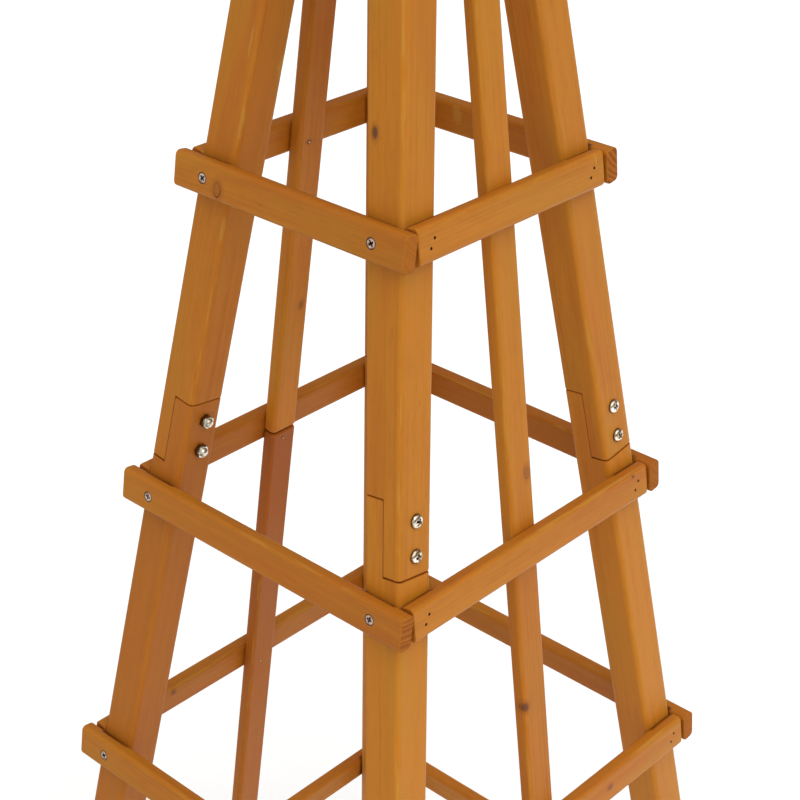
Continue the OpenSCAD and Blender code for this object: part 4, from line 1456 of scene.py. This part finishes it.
class OBELISK_OT_make_stage(bpy.types.Operator):
    """Make the pale floor, the soft light and the camera"""

    bl_idname = "obelisk.make_stage"
    bl_label = "Make stage"

    def execute(self, context):
        scene, stage = context.scene, context.scene.obelisk_stage
        scene.view_settings.view_transform = "Standard"
        self.floor(stage)
        self.sky(scene, stage)
        self.lamp("key_light", KEY_FROM, stage.key, KEY_SPREAD)
        self.camera(scene, stage)
        return {"FINISHED"}

    def seen(self, w):
        """1 for what the camera sees, straight or in a reflection, and 0 for light on its way."""
        path = w.node("ShaderNodeLightPath").outputs
        seen = w.larger(path["Is Camera Ray"], path["Is Glossy Ray"])
        return w.larger(seen, path["Is Transmission Ray"])

    def floor(self, stage):
        """A plain floor that keeps the obelisk's shadow and is white where it is lit."""
        mesh = bpy.data.meshes.new("floor")
        far = FLOOR_REACH
        mesh.from_pydata([(-far, -far, 0), (far, -far, 0), (far, far, 0), (-far, far, 0)], [],
                         [(0, 1, 2, 3)])
        floor = in_scene("floor", mesh)
        material = bpy.data.materials.new("Pale floor")
        w = emptied(material)
        matt = w.made("ShaderNodeBsdfDiffuse", {"Color": (*stage.floor, 1.0)})
        lift = w.made("ShaderNodeEmission", {"Color": WHITE, "Strength": w.times(self.seen(w), FLOOR_LIFT)})
        both = w.made("ShaderNodeAddShader", {0: matt, 1: lift})
        # In reflections the floor is bright behind the obelisk, on the key light's side, and dim in front.
        x, y, _ = w.split(w.node("ShaderNodeTexCoord").outputs["Object"])
        behind = w.ease(w.plus(x, y), -MIRRORED_OVER, MIRRORED_OVER)
        mirrored = w.made("ShaderNodeEmission", {
            "Color": w.blend(behind, WHITE, COOL_WHITE),
            "Strength": w.times_plus(behind, MIRRORED_MORE, MIRRORED_FRONT)})
        path = w.node("ShaderNodeLightPath").outputs
        floor_skin = w.made("ShaderNodeMixShader", {0: path["Is Glossy Ray"], 1: both, 2: mirrored})
        w.node("ShaderNodeOutputMaterial", {"Surface": floor_skin})
        mesh.materials.append(material)

    def sky(self, scene, stage):
        """Even light from all round, seen as plain white, with windows for the metal to reflect."""
        world = bpy.data.worlds.new("Studio")
        scene.world = world
        w = emptied(world)
        path = w.node("ShaderNodeLightPath").outputs
        towards = w.node("ShaderNodeTexCoord").outputs["Generated"]
        windows = 0.0
        for direction, inner, outer in WINDOWS:
            facing = w.vector("DOT_PRODUCT", towards, Vector(direction).normalized())
            dark_from, bright_from = (math.cos(math.radians(angle)) for angle in (outer, inner))
            windows = w.larger(windows, w.ease(facing, dark_from, bright_from))
        room = w.blend(windows, WALLS, WINDOW_LIGHT)
        tint = w.blend(path["Is Glossy Ray"], WHITE, room)
        strength = w.times_plus(self.seen(w), 1.0 - stage.sky, stage.sky)
        sky = w.made("ShaderNodeBackground", {"Color": tint, "Strength": strength})
        w.node("ShaderNodeOutputWorld", {"Surface": sky})

    def lamp(self, name, towards, strength, spread_degrees):
        """A very soft sun that shines from that direction."""
        light = bpy.data.lights.new(name, "SUN")
        light.energy, light.angle = strength, math.radians(spread_degrees)
        lamp = in_scene(name, light)
        lamp.rotation_mode = "QUATERNION"
        lamp.rotation_quaternion = Vector(towards).to_track_quat("Z", "Y")

    def camera(self, scene, stage):
        """The camera at its place, with its direction, lean, lens and shift."""
        data = bpy.data.cameras.new("camera")
        data.lens, data.sensor_width = stage.lens, SENSOR_WIDTH
        data.shift_x, data.shift_y = stage.shift_x, stage.shift_y
        data.clip_start, data.clip_end = NEAREST, FARTHEST
        camera = in_scene("camera", data)
        heading, dip, roll = (math.radians(v) for v in (stage.heading, stage.dip, stage.roll))
        ahead = Vector((math.cos(heading) * math.cos(dip), math.sin(heading) * math.cos(dip), -math.sin(dip)))
        right = Vector((math.sin(heading), -math.cos(heading), 0))
        up = right.cross(ahead)
        leaned = right * math.cos(roll) + up * math.sin(roll)
        up = up * math.cos(roll) - right * math.sin(roll)
        turn = Matrix((leaned, up, -ahead)).transposed().to_4x4()
        camera.matrix_world = Matrix.Translation(stage.camera_place) @ turn
        scene.camera = camera


# ---- add-on ----

OPERATORS = (OBELISK_OT_make_legs, OBELISK_OT_make_rails, OBELISK_OT_make_uprights, OBELISK_OT_make_cap,
             OBELISK_OT_make_finial, OBELISK_OT_make_bolts, OBELISK_OT_make_screws, OBELISK_OT_make_brads,
             OBELISK_OT_make_stage)
SETTINGS = (("obelisk_sizes", ObeliskSizes), ("obelisk_fixings", ObeliskFixings),
            ("obelisk_finishes", ObeliskFinishes), ("obelisk_stage", ObeliskStage))


class OBELISK_PT_panel(bpy.types.Panel):
    """Sidebar panel that lists the obelisk's pieces and settings."""

    bl_idname = "OBELISK_PT_panel"
    bl_label = "Garden obelisk"
    bl_space_type = "VIEW_3D"
    bl_region_type = "UI"
    bl_category = "Obelisk"

    def draw(self, context):
        for operator in OPERATORS:
            self.layout.operator(operator.bl_idname)
        for key, group in SETTINGS:
            box = self.layout.box()
            box.label(text=group.__doc__)
            for name in group.__annotations__:
                box.prop(getattr(context.scene, key), name)


def register():
    for _, group in SETTINGS:
        bpy.utils.register_class(group)
    for made in (*OPERATORS, OBELISK_PT_panel):
        bpy.utils.register_class(made)
    for key, group in SETTINGS:
        setattr(bpy.types.Scene, key, bpy.props.PointerProperty(type=group))


def unregister():
    for key, _ in SETTINGS:
        delattr(bpy.types.Scene, key)
    for made in (OBELISK_PT_panel, *reversed(OPERATORS)):
        bpy.utils.unregister_class(made)
    for _, group in reversed(SETTINGS):
        bpy.utils.unregister_class(group)


def main():
    register()
    for operator in OPERATORS:
        group, name = operator.bl_idname.split(".")
        getattr(getattr(bpy.ops, group), name)()


if __name__ == "__main__":
    main()
